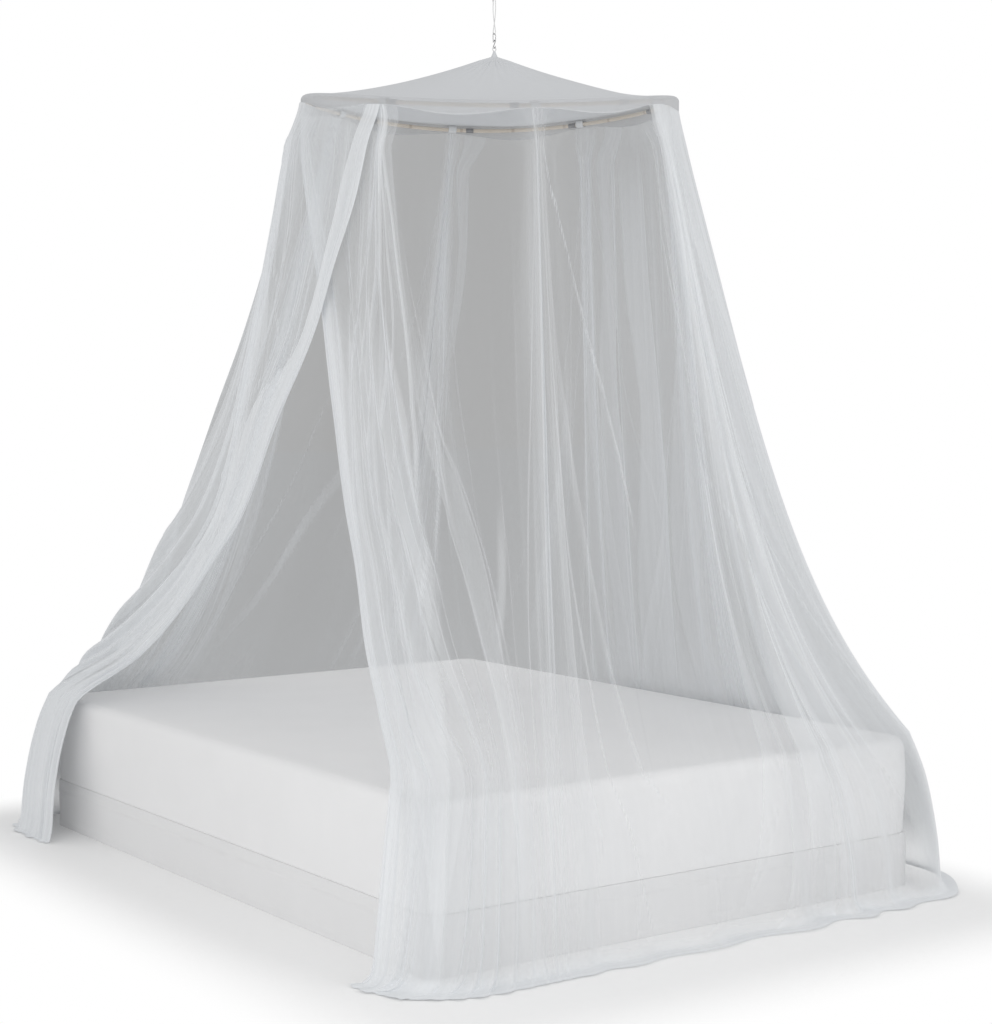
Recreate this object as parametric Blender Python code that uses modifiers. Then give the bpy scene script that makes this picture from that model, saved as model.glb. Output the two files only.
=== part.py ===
"""Mosquito net canopy over a low double bed.

A tent roof and five sewn widths of fine net hang from a bamboo hoop. The hoop is held by
tape loops under the roof's edge, and the roof's tip hangs by a hook, a ring and a doubled
cord from a hook in the ceiling. The net falls over the mattress's edge and its hem lies on
the floor round the bed. It is open on the bed's left side, where two widths cross.

Metres, +Z up. The origin is on the floor under the bed's middle, +Y is the bed's head and
the doorway is on the -X side. Angles are degrees counter-clockwise from +X, seen from above.
"""
import math

import bmesh
import bpy
import numpy as np
from mathutils import Matrix, Vector

# ---------------------------------------------------------------- driving dimensions
GAP = 0.0003                    # left between pieces that touch

BED_WIDTH = 1.53
BED_LENGTH = 2.03
BASE_HEIGHT = 0.14
BASE_INSET = 0.010              # the base is a little narrower than the mattress
BASE_CORNER = 0.03
BASE_EDGE = 0.004
MATTRESS_THICKNESS = 0.25
MATTRESS_CORNER = 0.06
MATTRESS_EDGE = 0.025
MATTRESS_TOP = BASE_HEIGHT + GAP + MATTRESS_THICKNESS

HOOP_CENTRE = (0.080, -0.060)   # it hangs a little off the bed's middle
HANGER = (0.090, -0.067)        # the roof's tip, its hook, cord and ceiling plate
HOOP_HEIGHT = 2.063
HOOP_RADIUS = 0.505
HOOP_TILT = 0.036               # it hangs lower towards the doorway's near corner
HOOP_TILT_TOWARDS = 237.0
HOOP_SADDLE = 0.023             # and is bent: low, high, low, high round its ring
ROD_RADIUS = 0.0055
ROD_COUNT = 10
ROD_STEPS = 9
FIRST_FERRULE = 25.5
FERRULE_OUTER = 0.0075
FERRULE_LENGTH = 0.022
STRAIGHT_IN_SLEEVE = 0.6        # a rod is straight for this share of the sleeve at each end

TAB_COUNT = 8
FIRST_TAB = 22.5
TAB_WIDTH = 0.024
TAB_TAPE = 0.0016
TAB_DROP = 0.0023               # the rod lies this far off the loop's middle
TAB_CLEARANCE = 0.0008          # between the bent rod and the straight loop
TAB_SEAT = 0.0009               # between the loop's middle and the net that turns past it

CLOTH = 0.0015                  # thickness of every net sheet
SEAM_DROP = 0.009               # the seam under the roof is this far below the hoop at a tab
SEAM_SAG = 0.018                # and sags this much more halfway between two
TENT_HEIGHT = 2.225             # top of the roof's neck
TENT_POWER = 1.6                # how hollow the roof's slope is

CROWN_RADIUS = 0.0080
CROWN_HEIGHT = 0.0120
CROWN_LOOP_RADIUS = 0.0055
CROWN_LOOP_WIRE = 0.0013
WIRE = 0.0012                   # radius of the hook's and the ring's wire
HOOK_BEND = 0.0050
HOOK_REACH = 0.0120             # between the middles of its two bends
RING_HEIGHT = 0.0206
RING_WIDTH = 0.0086
CORD_RADIUS = 0.00125
CORD_BEND = 0.0052
CORD_STEP = 0.004               # between the points of its route
KNOT_RADIUS = 0.00275
CEILING = 2.44
CEILING_HOOK_WIRE = 0.0015
CEILING_HOOK_BEND = 0.0080
CEILING_HOOK_LOW = 2.396        # the lowest point of its wire's middle line
CEILING_HOOK_SHANK = 0.004      # its straight run just over the bend
PLATE_RADIUS = 0.020
PLATE_THICKNESS = 0.003

# ---------------------------------------------------------------- derived places
TAB_BORE = ROD_RADIUS + TAB_CLEARANCE + TAB_DROP
TAB_OUTER = TAB_BORE + TAB_TAPE
TAB_OFFSET = TAB_DROP / math.sqrt(2)
ROOF_OVER_HOOP = TAB_OFFSET + TAB_OUTER + TAB_SEAT + CLOTH / 2
NET_RADIUS = HOOP_RADIUS + ROOF_OVER_HOOP
EAVES_CORNER = 0.45 * TAB_OUTER # the roof turns over a tab in three straight faces
NECK_RADIUS = CROWN_RADIUS + GAP + CLOTH / 2
RIM_STEP = 45.0 / 8             # the roof's edge is straight between points this far apart

# ---------------------------------------------------------------- the net's shape in tables
# Folds per row: the row's place, how far the cloth stands off the bed there, and its folds.
# drop: 0 at the roof's edge, 1 level with the mattress's top edge.
UPPER_ROWS = (
    # drop, fold depth
    (0.00, 0.000),
    (0.07, 0.003),
    (0.16, 0.006),
    (0.28, 0.009),
    (0.42, 0.013),
    (0.57, 0.017),
    (0.71, 0.019),
    (0.83, 0.018),
    (0.93, 0.013),
    (1.00, 0.008),
)
LOWER_ROWS = (
    # height above the floor, distance outside the bed, fold depth, ridge height
    (0.290, 0.064, 0.013, 0.000),
    (0.130, 0.096, 0.018, 0.000),
    (0.022, 0.108, 0.022, 0.004),
    (0.000, 0.132, 0.022, 0.006),
    (0.000, 0.166, 0.018, 0.004),
)
HEM_ON_FLOOR = 3                # lower rows from here on run out over the floor
HEM_REACH = (
    # angle, share of that run: short where the net hangs in a tail beside the doorway
    (112.5, 1.00), (126.0, 0.45), (150.0, 0.15), (220.0, 0.45), (232.0, 1.00), (292.0, 1.00),
    (306.0, 0.70), (325.0, 1.00),
)
WALL_SLANT = 0.71               # share of the net's spread that is a straight slant
WALL_FLARE = 5.5                # the rest comes low down, by this power of the drop
NET_EDGE_OFFSET = 0.018         # the net's distance outside the mattress at its top edge
NET_EDGE_LIFT = 0.012           # and above it
NET_CORNER = 0.08

# The doorway's two free edges: the angle of each edge at each drop. Drops over 1 are below
# the mattress's top edge, 2 is the hem.
LEFT_DOOR_EDGE = (
    # drop, angle
    (0.00, 202.5), (0.14, 200.5), (0.25, 196.5), (0.35, 193.0), (0.52, 180.5),
    (0.66, 170.5), (0.73, 162.0), (0.81, 153.5), (0.90, 145.0), (1.00, 135.0),
    (2.00, 134.0),
)
RIGHT_DOOR_EDGE = (
    (0.00, 157.5), (0.06, 166.5), (0.22, 183.5), (0.32, 191.3), (0.49, 201.4),
    (0.62, 208.5), (0.71, 214.0), (0.82, 219.6), (0.91, 225.0), (1.00, 229.0),
    (1.50, 228.0), (2.00, 225.5),
)
OVERLAP_LIFT = 0.018            # the left width lies this far outside the right one
OVERLAP_ANGLES = (148.0, 157.0) # it comes out between these angles
OVERLAP_DROPS = (0.45, 0.70)    # and goes back between these drops

# Each sewn width of the net: where it starts and ends round the hoop, its columns of faces,
# the columns that one fold takes, and how much its columns crowd to its first edge.
WIDTHS = (
    # name, first edge, last edge, columns, columns per fold, crowding
    ("net_left_door_width", LEFT_DOOR_EDGE, 112.5, 32, 3.0, 1.25),
    ("net_head_width", 112.5, 67.5, 16, 3.2, 1.0),
    ("net_far_width", 67.5, -22.5, 32, 3.3, 1.0),
    ("net_foot_width", -22.5, -112.5, 32, 3.4, 1.0),
    ("net_right_door_width", RIGHT_DOOR_EDGE, 247.5, 32, 3.1, 1.12),
)
GATHER_AT_TABS = 0.72           # how much the net's columns crowd to the tabs at the roof
GATHER_AT_HEM = 0.34
GATHER_START = 0.07             # the drop from which the columns crowd
CROWDING_FULL = 0.30            # the drop from which they also crowd fully to a first edge
FREE_EDGE_SHARE = 0.25          # share of a door width over which gathering fades to its edge
FOLD_DEPTH_VARIES = 0.28        # folds differ in depth by this share, and in place by this
FOLD_PLACE_VARIES = 0.90        # many radians of a fold
FOLD_DEPTH_PACE = 0.19          # and the two come and go at these paces, in folds
FOLD_PLACE_PACE = 0.23

# Colour as linear RGB, roughness, metallic
NET_WHITE = ((0.78, 0.80, 0.82), 0.85, 0.0)
SHEET_WHITE = ((0.83, 0.84, 0.85), 0.9, 0.0)
BAMBOO = ((0.55, 0.36, 0.19), 0.55, 0.0)
TAPE_WHITE = ((0.80, 0.81, 0.82), 0.8, 0.0)
STEEL = ((0.50, 0.50, 0.50), 0.3, 1.0)
CORD_WHITE = ((0.72, 0.72, 0.70), 0.8, 0.0)


# ---------------------------------------------------------------- scene, materials, objects
def clear_scene():
    for item in list(bpy.data.objects):
        bpy.data.objects.remove(item, do_unlink=True)


def new_collection(name):
    collection = bpy.data.collections.new(name)
    bpy.context.scene.collection.children.link(collection)
    return collection


def add_object(name, data, finish, location=(0, 0, 0)):
    """Link data to the part's collection as one named sub-part with its own material."""
    item = bpy.data.objects.new(name, data)
    PART.objects.link(item)
    item.location = location
    colour, roughness, metallic = finish
    material = bpy.data.materials.new(name)
    material.use_nodes = True
    shader = material.node_tree.nodes["Principled BSDF"]
    shader.inputs["Base Color"].default_value = (*colour, 1.0)
    shader.inputs["Roughness"].default_value = roughness
    shader.inputs["Metallic"].default_value = metallic
    data.materials.append(material)
    return item


def mesh_from(bm, name):
    mesh = bpy.data.meshes.new(name)
    bm.to_mesh(mesh)
    bm.free()
    return mesh


def wire(name, points, radius, finish, closed=False):
    """A round wire, rod or cord along a list of points, with its ends closed."""
    curve = bpy.data.curves.new(name, "CURVE")
    curve.dimensions = "3D"
    curve.bevel_depth = radius
    curve.bevel_resolution = 2
    curve.use_fill_caps = not closed
    spline = curve.splines.new("POLY")
    spline.points.add(len(points) - 1)
    for target, point in zip(spline.points, points):
        target.co = (*point, 1.0)
    spline.use_cyclic_u = closed
    return add_object(name, curve, finish)


def smooth_route(points, spacing):
    """Points a spacing apart on a smooth curve through a hand-drawn route."""
    knots = [Vector(point) for point in points]
    padded = [2 * knots[0] - knots[1], *knots, 2 * knots[-1] - knots[-2]]
    route = []
    for i in range(1, len(padded) - 2):
        before, start, end, after = padded[i - 1:i + 3]
        steps = max(1, round((end - start).length / spacing))
        for k in range(steps):
            t = k / steps
            route.append(0.5 * (2 * start + (end - before) * t
                                + (2 * before - 5 * start + 4 * end - after) * t ** 2
                                + (3 * start - before - 3 * end + after) * t ** 3))
    return [*route, knots[-1]]


def arc(centre, radius, start, end, steps, plane):
    """Points on an arc in the XZ or the YZ plane, its angles measured from +X or +Y."""
    points = []
    for k in range(steps + 1):
        angle = math.radians(start + (end - start) * k / steps)
        across = radius * math.cos(angle)
        height = centre[2] + radius * math.sin(angle)
        if plane == "XZ":
            points.append((centre[0] + across, centre[1], height))
        else:
            points.append((centre[0], centre[1] + across, height))
    return points


def table_value(table, key, column=1):
    """A column of a table, read straight between its rows."""
    return float(np.interp(key, [row[0] for row in table], [row[column] for row in table]))


def smoothstep(value, start, end):
    t = min(1.0, max(0.0, (value - start) / (end - start)))
    return t * t * (3 - 2 * t)


# ---------------------------------------------------------------- the hoop's ring
def hoop_height(angle):
    """Height of the hoop's middle line: a tilted ring, bent once down and up across itself."""
    turn = math.radians(angle - HOOP_TILT_TOWARDS)
    return HOOP_HEIGHT - HOOP_TILT * math.cos(turn) - HOOP_SADDLE * math.cos(2 * turn)


def ring_point(angle, radius, lift=0.0):
    """A point round the hoop's own middle, at a radius and a height above its middle line."""
    turn = math.radians(angle)
    return Vector((HOOP_CENTRE[0] + radius * math.cos(turn),
                   HOOP_CENTRE[1] + radius * math.sin(turn),
                   hoop_height(angle) + lift))


def build_hoop():
    """Ten bamboo rods, bent to the ring, their ends a hair apart inside steel sleeves."""
    pitch = 360.0 / ROD_COUNT
    half_gap = math.degrees(GAP / HOOP_RADIUS)
    in_sleeve = math.degrees(STRAIGHT_IN_SLEEVE * FERRULE_LENGTH / HOOP_RADIUS)
    for k in range(ROD_COUNT):
        start = FIRST_FERRULE + k * pitch + half_gap
        end = start + pitch - 2 * half_gap
        inner = np.linspace(start + in_sleeve, end - in_sleeve, ROD_STEPS - 1)
        angles = [start, *inner, end]
        wire(f"hoop_rod_{k + 1:02d}", [ring_point(a, HOOP_RADIUS) for a in angles],
             ROD_RADIUS, BAMBOO)
        add_sleeve(f"hoop_ferrule_{k + 1:02d}", FIRST_FERRULE + k * pitch,
                   ROD_RADIUS + GAP, FERRULE_OUTER, FERRULE_LENGTH, STEEL)


def add_sleeve(name, angle, bore, outer, length, finish, shift=(0.0, 0.0)):
    """A turned sleeve round the hoop's rod; shift moves it outwards and up."""
    mesh = bpy.data.meshes.new(name)
    half = length / 2
    profile = [(outer, half), (outer, -half), (bore, -half), (bore, half)]
    mesh.from_pydata([(r, 0.0, z) for r, z in profile], [(0, 1), (1, 2), (2, 3), (3, 0)], [])
    sleeve = add_object(name, mesh, finish)
    screw = sleeve.modifiers.new("turn", "SCREW")
    screw.steps = screw.render_steps = 12
    screw.use_merge_vertices = True
    screw.merge_threshold = 0.00001
    along = (ring_point(angle + 1, HOOP_RADIUS) - ring_point(angle - 1, HOOP_RADIUS)).normalized()
    sleeve.rotation_euler = along.to_track_quat("Z", "Y").to_euler()
    sleeve.location = ring_point(angle, HOOP_RADIUS + shift[0], shift[1])
    return sleeve


def build_tabs():
    """Tape loops under the roof's edge; the hoop lies in the bottom of each."""
    for k in range(TAB_COUNT):
        add_sleeve(f"hoop_tab_{k + 1}", FIRST_TAB + k * 360.0 / TAB_COUNT, TAB_BORE, TAB_OUTER,
                   TAB_WIDTH, TAPE_WHITE, shift=(TAB_OFFSET, TAB_OFFSET))


# ---------------------------------------------------------------- the net
def rim_sag(angle):
    """How far the seam hangs below a tab: nothing at each tab, most halfway between two."""
    turn = math.radians((angle - FIRST_TAB) * TAB_COUNT)
    return SEAM_SAG * (1 - math.cos(turn)) / 2


def rim_node(angle):
    """A point of the seam between the roof and the walls."""
    return ring_point(angle, NET_RADIUS, -SEAM_DROP - rim_sag(angle))


def rim_point(angle):
    """The seam read straight between its points, so that roof and walls share one line."""
    place = (angle - FIRST_TAB) / RIM_STEP
    low = math.floor(place + 1e-9)
    start = rim_node(FIRST_TAB + low * RIM_STEP)
    end = rim_node(FIRST_TAB + (low + 1) * RIM_STEP)
    return start.lerp(end, place - low)


def bed_outline(angle, offset):
    """Where a ray from the bed's middle meets its outline, widened by an offset."""
    turn = math.radians(angle)
    across, along = math.cos(turn), math.sin(turn)
    half_width, half_length = BED_WIDTH / 2 + offset, BED_LENGTH / 2 + offset
    reach = min(half_width / max(abs(across), 1e-9), half_length / max(abs(along), 1e-9))
    corner = NET_CORNER + offset
    inner_x, inner_y = half_width - corner, half_length - corner
    if reach * abs(across) > inner_x and reach * abs(along) > inner_y:
        middle = abs(across) * inner_x + abs(along) * inner_y
        reach = middle + math.sqrt(middle ** 2 - inner_x ** 2 - inner_y ** 2 + corner ** 2)
    return Vector((reach * across, reach * along, 0.0))


def smooth_wall(angle, row):
    """The net without folds: slanting to the mattress's edge, hanging, then lying flat."""
    if row < len(UPPER_ROWS):
        drop = UPPER_ROWS[row][0]
        spread = WALL_SLANT * drop + (1 - WALL_SLANT) * drop ** WALL_FLARE
        top = rim_point(angle)
        foot = bed_outline(angle, NET_EDGE_OFFSET)
        foot.z = MATTRESS_TOP + NET_EDGE_LIFT
        point = top.lerp(foot, spread)
        point.z = top.z + (foot.z - top.z) * drop
        return point
    low_row = row - len(UPPER_ROWS)
    height, offset = LOWER_ROWS[low_row][:2]
    if low_row >= HEM_ON_FLOOR:
        landing = LOWER_ROWS[HEM_ON_FLOOR - 1][1]
        offset = landing + (offset - landing) * table_value(HEM_REACH, angle % 360)
    point = bed_outline(angle, offset)
    point.z = height + CLOTH / 2
    return point


def row_drop(row):
    """The row's place in the door-edge tables."""
    if row < len(UPPER_ROWS):
        return UPPER_ROWS[row][0]
    return 1.0 + (row + 1 - len(UPPER_ROWS)) / len(LOWER_ROWS)


def edge_angle(edge, row):
    return edge if isinstance(edge, float) else table_value(edge, row_drop(row))


def gathered(angle, row):
    """Crowd the columns to the tabs, most just under the seam and least at the hem."""
    drop = row_drop(row)
    crowd = GATHER_AT_TABS + (GATHER_AT_HEM - GATHER_AT_TABS) * smoothstep(drop, 0.0, 1.2)
    crowd *= smoothstep(drop, 0.0, GATHER_START)
    turn = math.radians((angle - FIRST_TAB) * TAB_COUNT)
    return angle - math.degrees(crowd * math.sin(turn) / TAB_COUNT)


def fold(column, columns, per_fold):
    """Uneven folds from -1 to 1, flat along the two outer columns."""
    if column <= 1 or column >= columns - 1:
        return 0.0
    turn = 2 * math.pi * column / per_fold
    depth = 1 - FOLD_DEPTH_VARIES * (1 - math.sin(turn * FOLD_DEPTH_PACE + 1.1))
    return depth * math.sin(turn + FOLD_PLACE_VARIES * math.sin(turn * FOLD_PLACE_PACE))


def wall_point(column, row, width):
    """One point of a sewn width: its smooth place, pushed in or out by its fold."""
    first, last, columns, per_fold, crowding = width[1:]
    start = edge_angle(first, row)
    crowd = 1 + (crowding - 1) * smoothstep(row_drop(row), 0.0, CROWDING_FULL)
    share = (column / columns) ** crowd
    angle = start + (last - start) * share
    free = isinstance(first, tuple)
    follow = smoothstep(share, 0.0, FREE_EDGE_SHARE) if free else 1.0
    angle += (gathered(angle, row) - angle) * follow
    point = smooth_wall(angle, row)
    ahead = smooth_wall(angle + 0.4, row) - smooth_wall(angle - 0.4, row)
    tangent = Vector((ahead.x, ahead.y, 0.0)).normalized()
    outward = Vector((tangent.y, -tangent.x, 0.0))
    wave = fold(column, columns, per_fold)
    if row < len(UPPER_ROWS):
        point += outward * wave * UPPER_ROWS[row][1]
        if first is LEFT_DOOR_EDGE:
            out = smoothstep(angle, *OVERLAP_ANGLES)
            back = smoothstep(UPPER_ROWS[row][0], *OVERLAP_DROPS)
            point += outward * OVERLAP_LIFT * out * (1 - back)
    else:
        depth, ridge = LOWER_ROWS[row - len(UPPER_ROWS)][2:]
        point += outward * wave * depth
        if wave != 0:
            point.z += ridge * (wave + 1) / 2
    if column == 0 and not free:
        point += tangent * (GAP / 2) * math.copysign(1, last - start)
    if column == columns:
        point -= tangent * (GAP / 2) * math.copysign(1, last - start)
    if row == 0:
        point.z -= GAP
    return point


def cloth_sheet(name, columns, rows, place, closed=False):
    """A grid whose points are put in place one by one, thickened to a sheet."""
    bm = bmesh.new()
    bmesh.ops.create_grid(bm, x_segments=columns, y_segments=rows, size=0.5)
    for vertex in bm.verts:
        column = round((vertex.co.x + 0.5) * columns)
        row = round((vertex.co.y + 0.5) * rows)
        vertex.co = place(column, row)
    if closed:
        bmesh.ops.remove_doubles(bm, verts=bm.verts, dist=0.00001)
    bmesh.ops.recalc_face_normals(bm, faces=bm.faces)
    sheet = add_object(name, mesh_from(bm, name), NET_WHITE)
    sheet.data.shade_smooth()
    solidify = sheet.modifiers.new("thickness", "SOLIDIFY")
    solidify.thickness = CLOTH
    solidify.offset = 0.0
    return sheet


def build_walls():
    rows = len(UPPER_ROWS) + len(LOWER_ROWS) - 1
    for width in WIDTHS:
        cloth_sheet(width[0], width[3], rows,
                    lambda column, row, width=width: wall_point(column, row, width))


ROOF_SLOPE_RADII = (0.030, 0.085, 0.180, 0.300, 0.415)


def roof_point(column, row):
    """The tent roof from its neck, down its hollow slope, over the hoop to the seam."""
    angle = FIRST_TAB + column * RIM_STEP
    eaves = hoop_height(angle) + ROOF_OVER_HOOP
    slope_rows = len(ROOF_SLOPE_RADII)
    if row < 2:
        radius, height = NECK_RADIUS, TENT_HEIGHT - CROWN_HEIGHT * row
    elif row < 2 + slope_rows:
        radius = ROOF_SLOPE_RADII[row - 2]
        share = 1 - radius / HOOP_RADIUS
        height = eaves + (TENT_HEIGHT - CROWN_HEIGHT - eaves) * share ** TENT_POWER
    elif row == 2 + slope_rows:
        radius, height = HOOP_RADIUS + TAB_OFFSET + EAVES_CORNER, eaves
    elif row == 3 + slope_rows:
        radius, height = NET_RADIUS, hoop_height(angle) + TAB_OFFSET + EAVES_CORNER
    else:
        return rim_point(angle)
    turn = math.radians(angle)
    lean = 1 - max(0.0, radius - NECK_RADIUS) / (NET_RADIUS - NECK_RADIUS)
    x = HOOP_CENTRE[0] + (HANGER[0] - HOOP_CENTRE[0]) * lean
    y = HOOP_CENTRE[1] + (HANGER[1] - HOOP_CENTRE[1]) * lean
    return Vector((x + radius * math.cos(turn), y + radius * math.sin(turn), height))


def build_roof():
    cloth_sheet("net_roof", round(360 / RIM_STEP), len(ROOF_SLOPE_RADII) + 4, roof_point,
                closed=True)


# ---------------------------------------------------------------- what the net hangs from
def build_hanger():
    """Crown plug and loop, hook, oval ring, doubled cord with its knot, ceiling hook."""
    x, y = HANGER
    crown_top = TENT_HEIGHT + GAP
    loop_height = crown_top + CROWN_LOOP_RADIUS
    build_crown(crown_top, loop_height)

    hook_low = loop_height + CROWN_LOOP_RADIUS - CROWN_LOOP_WIRE - GAP - WIRE
    low_middle = hook_low + HOOK_BEND
    high_middle = low_middle + HOOK_REACH
    lower = arc((x, y, low_middle), HOOK_BEND, 170, 360, 9, "YZ")
    upper = arc((x, y, high_middle), HOOK_BEND, 180, -10, 9, "YZ")
    wire("hanging_hook", [*lower, *upper], WIRE, STEEL)

    ring_low = high_middle + HOOK_BEND - 2 * WIRE - GAP
    bend = RING_WIDTH / 2
    ring = [*arc((x, y, ring_low + bend), bend, 180, 360, 8, "XZ"),
            *arc((x, y, ring_low + RING_HEIGHT - bend), bend, 0, 180, 8, "XZ")]
    wire("hanging_ring", ring, WIRE, STEEL, closed=True)

    ring_top = ring_low + RING_HEIGHT
    cord_low = ring_top - WIRE - GAP - CORD_RADIUS
    build_cord(cord_low, CEILING_HOOK_LOW + CEILING_HOOK_WIRE + GAP + CORD_RADIUS)
    build_ceiling_hook()


def build_crown(crown_top, loop_height):
    """The plug that the roof's neck is bound round, with its loop standing on it."""
    x, y = HANGER
    bm = bmesh.new()
    bmesh.ops.create_cone(bm, cap_ends=True, segments=16, radius1=CROWN_RADIUS,
                          radius2=CROWN_RADIUS, depth=CROWN_HEIGHT)
    crown = add_object("crown_binding", mesh_from(bm, "crown_binding"), TAPE_WHITE,
                       (x, y, crown_top - CROWN_HEIGHT / 2))
    bpy.ops.mesh.primitive_torus_add(major_segments=20, minor_segments=8,
                                     major_radius=CROWN_LOOP_RADIUS,
                                     minor_radius=CROWN_LOOP_WIRE,
                                     location=(x, y, loop_height),
                                     rotation=(math.pi / 2, 0, 0))
    loop = bpy.context.object
    loop.name = "crown_loop_cutter"
    for collection in list(loop.users_collection):
        collection.objects.unlink(loop)
    CUTTERS.objects.link(loop)
    loop.hide_render = True
    loop.display_type = "WIRE"
    union = crown.modifiers.new("loop", "BOOLEAN")
    union.operation = "UNION"
    union.solver = "EXACT"
    union.object = loop


CORD_STRANDS = (
    # height above the lower bend, along X, along Y: one strand; the other is its mirror
    (0.0100, 0.0000, 0.0050),
    (0.0250, 0.0016, 0.0036),
    (0.0420, 0.0028, 0.0014),
    (0.0580, 0.0026, -0.0014),
    (0.0720, 0.0018, -0.0034),
    (0.0860, 0.0006, -0.0046),
)
KNOT_LOW = 0.0900
KNOT_HIGH = 0.1000


def build_cord(low, high):
    """One cord, doubled and lightly twisted, from its knot down round the ring and back."""
    x, y = HANGER
    bend = CORD_BEND
    down = [(x - dx, y - dy, low + dz) for dz, dx, dy in reversed(CORD_STRANDS)]
    up = [(x + dx, y + dy, low + dz) for dz, dx, dy in CORD_STRANDS]
    knot_foot = (x, y + bend, low + KNOT_LOW)
    knot_head = (x, y + bend, low + KNOT_HIGH)
    lower_bend = arc((x, y, low + bend), bend, 200, 340, 6, "YZ")
    upper_bend = arc((x, y, high - bend), bend, 180, 0, 8, "YZ")
    route = [knot_foot, *down, *lower_bend, *up, (x, y - bend, low + KNOT_LOW), *upper_bend,
             knot_head]
    wire("hanging_cord", smooth_route(route, CORD_STEP), CORD_RADIUS, CORD_WHITE)

    bm = bmesh.new()
    bmesh.ops.create_uvsphere(bm, u_segments=12, v_segments=8, radius=1.0)
    size = Vector((KNOT_RADIUS, KNOT_RADIUS, (KNOT_HIGH - KNOT_LOW) / 2 - GAP))
    bmesh.ops.transform(bm, matrix=Matrix.Diagonal((*size, 1.0)), verts=bm.verts)
    middle = low + (KNOT_LOW + KNOT_HIGH) / 2
    add_object("cord_knot", mesh_from(bm, "cord_knot"), CORD_WHITE, (x, y + bend, middle))


def build_ceiling_hook():
    """An open wire hook under a small round plate on the ceiling."""
    x, y = HANGER
    middle = CEILING_HOOK_LOW + CEILING_HOOK_BEND
    plate_low = CEILING - PLATE_THICKNESS
    shank = [(x, y, plate_low - GAP), (x, y, middle + CEILING_HOOK_BEND + CEILING_HOOK_SHANK)]
    bend = arc((x, y, middle), CEILING_HOOK_BEND, 90, 375, 14, "XZ")
    wire("ceiling_hook", [*shank, *bend[1:]], CEILING_HOOK_WIRE, STEEL)
    bm = bmesh.new()
    bmesh.ops.create_cone(bm, cap_ends=True, segments=24, radius1=PLATE_RADIUS,
                          radius2=PLATE_RADIUS, depth=PLATE_THICKNESS)
    add_object("ceiling_plate", mesh_from(bm, "ceiling_plate"), STEEL,
               (x, y, CEILING - PLATE_THICKNESS / 2))


# ---------------------------------------------------------------- the bed
def soft_box(name, size, corner, edge, bottom, finish):
    """A box with round upright corners and softened top and bottom edges."""
    bm = bmesh.new()
    bmesh.ops.create_cube(bm, size=1.0)
    bmesh.ops.transform(bm, matrix=Matrix.Diagonal((*size, 1.0)), verts=bm.verts)
    upright = [e for e in bm.edges if abs(e.verts[0].co.z - e.verts[1].co.z) > size[2] / 2]
    bmesh.ops.bevel(bm, geom=upright, offset=corner, segments=4, profile=0.5,
                    affect="EDGES")
    box = add_object(name, mesh_from(bm, name), finish, (0, 0, bottom + size[2] / 2))
    bevel = box.modifiers.new("edges", "BEVEL")
    bevel.width = edge
    bevel.segments = 2
    bevel.limit_method = "ANGLE"
    bevel.angle_limit = math.radians(50)
    return box


def build_bed():
    base = (BED_WIDTH - 2 * BASE_INSET, BED_LENGTH - 2 * BASE_INSET, BASE_HEIGHT)
    soft_box("bed_base", base, BASE_CORNER, BASE_EDGE, 0.0, SHEET_WHITE)
    mattress = (BED_WIDTH, BED_LENGTH, MATTRESS_THICKNESS)
    soft_box("bed_mattress", mattress, MATTRESS_CORNER, MATTRESS_EDGE, BASE_HEIGHT + GAP,
             SHEET_WHITE)


clear_scene()
PART = new_collection("mosquito_net_canopy")
CUTTERS = new_collection("cutters")
build_bed()
build_hoop()
build_tabs()
build_walls()
build_roof()
build_hanger()
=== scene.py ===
"""The looks of a mosquito net canopy over a low double bed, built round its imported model.

The file follows the net as it is put together: camera, cord, ceiling hook, ring and hook,
crown, hoop, tent roof, the five hanging widths, the bed, and the studio it stands in. Metres,
+Z up, the bed's head towards +Y and the doorway on the -X side. Angles are degrees
counter-clockwise from +X, seen from above.
"""
import math

import bpy
import numpy as np
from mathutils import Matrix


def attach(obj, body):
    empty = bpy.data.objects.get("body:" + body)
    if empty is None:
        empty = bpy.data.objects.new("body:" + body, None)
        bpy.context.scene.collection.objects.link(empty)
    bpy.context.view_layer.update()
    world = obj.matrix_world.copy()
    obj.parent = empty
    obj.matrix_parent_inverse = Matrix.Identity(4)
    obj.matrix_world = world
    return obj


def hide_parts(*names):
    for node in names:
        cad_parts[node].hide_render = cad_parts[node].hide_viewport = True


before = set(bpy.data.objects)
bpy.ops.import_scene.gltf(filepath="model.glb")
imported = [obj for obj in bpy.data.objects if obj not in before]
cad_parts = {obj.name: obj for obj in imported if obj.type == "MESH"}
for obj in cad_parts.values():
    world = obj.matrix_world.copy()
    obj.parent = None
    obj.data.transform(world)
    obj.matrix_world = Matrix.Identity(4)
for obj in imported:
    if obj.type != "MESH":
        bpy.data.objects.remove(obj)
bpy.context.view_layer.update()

# ------------------------------------------------------------------------------ camera
# The photograph's own view: from waist height, off the foot's corner on the doorway's side,
# 5.6 m from the middle of the bed, on a long lens.
CAMERA_PLACE = (-3.141, -4.588, 1.260)
LOOKS_DOWN, LOOKS_ROUND = 3.12, -35.6   # degrees below level, and round from +Y
camera_data = bpy.data.cameras.new("camera")
camera_data.lens, camera_data.sensor_width = 70.3, 36.0
camera = bpy.data.objects.new("camera", camera_data)
camera.location = CAMERA_PLACE
camera.rotation_euler = (math.radians(90 - LOOKS_DOWN), 0.0, math.radians(LOOKS_ROUND))
bpy.context.scene.collection.objects.link(camera)
bpy.context.scene.camera = camera

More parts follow.
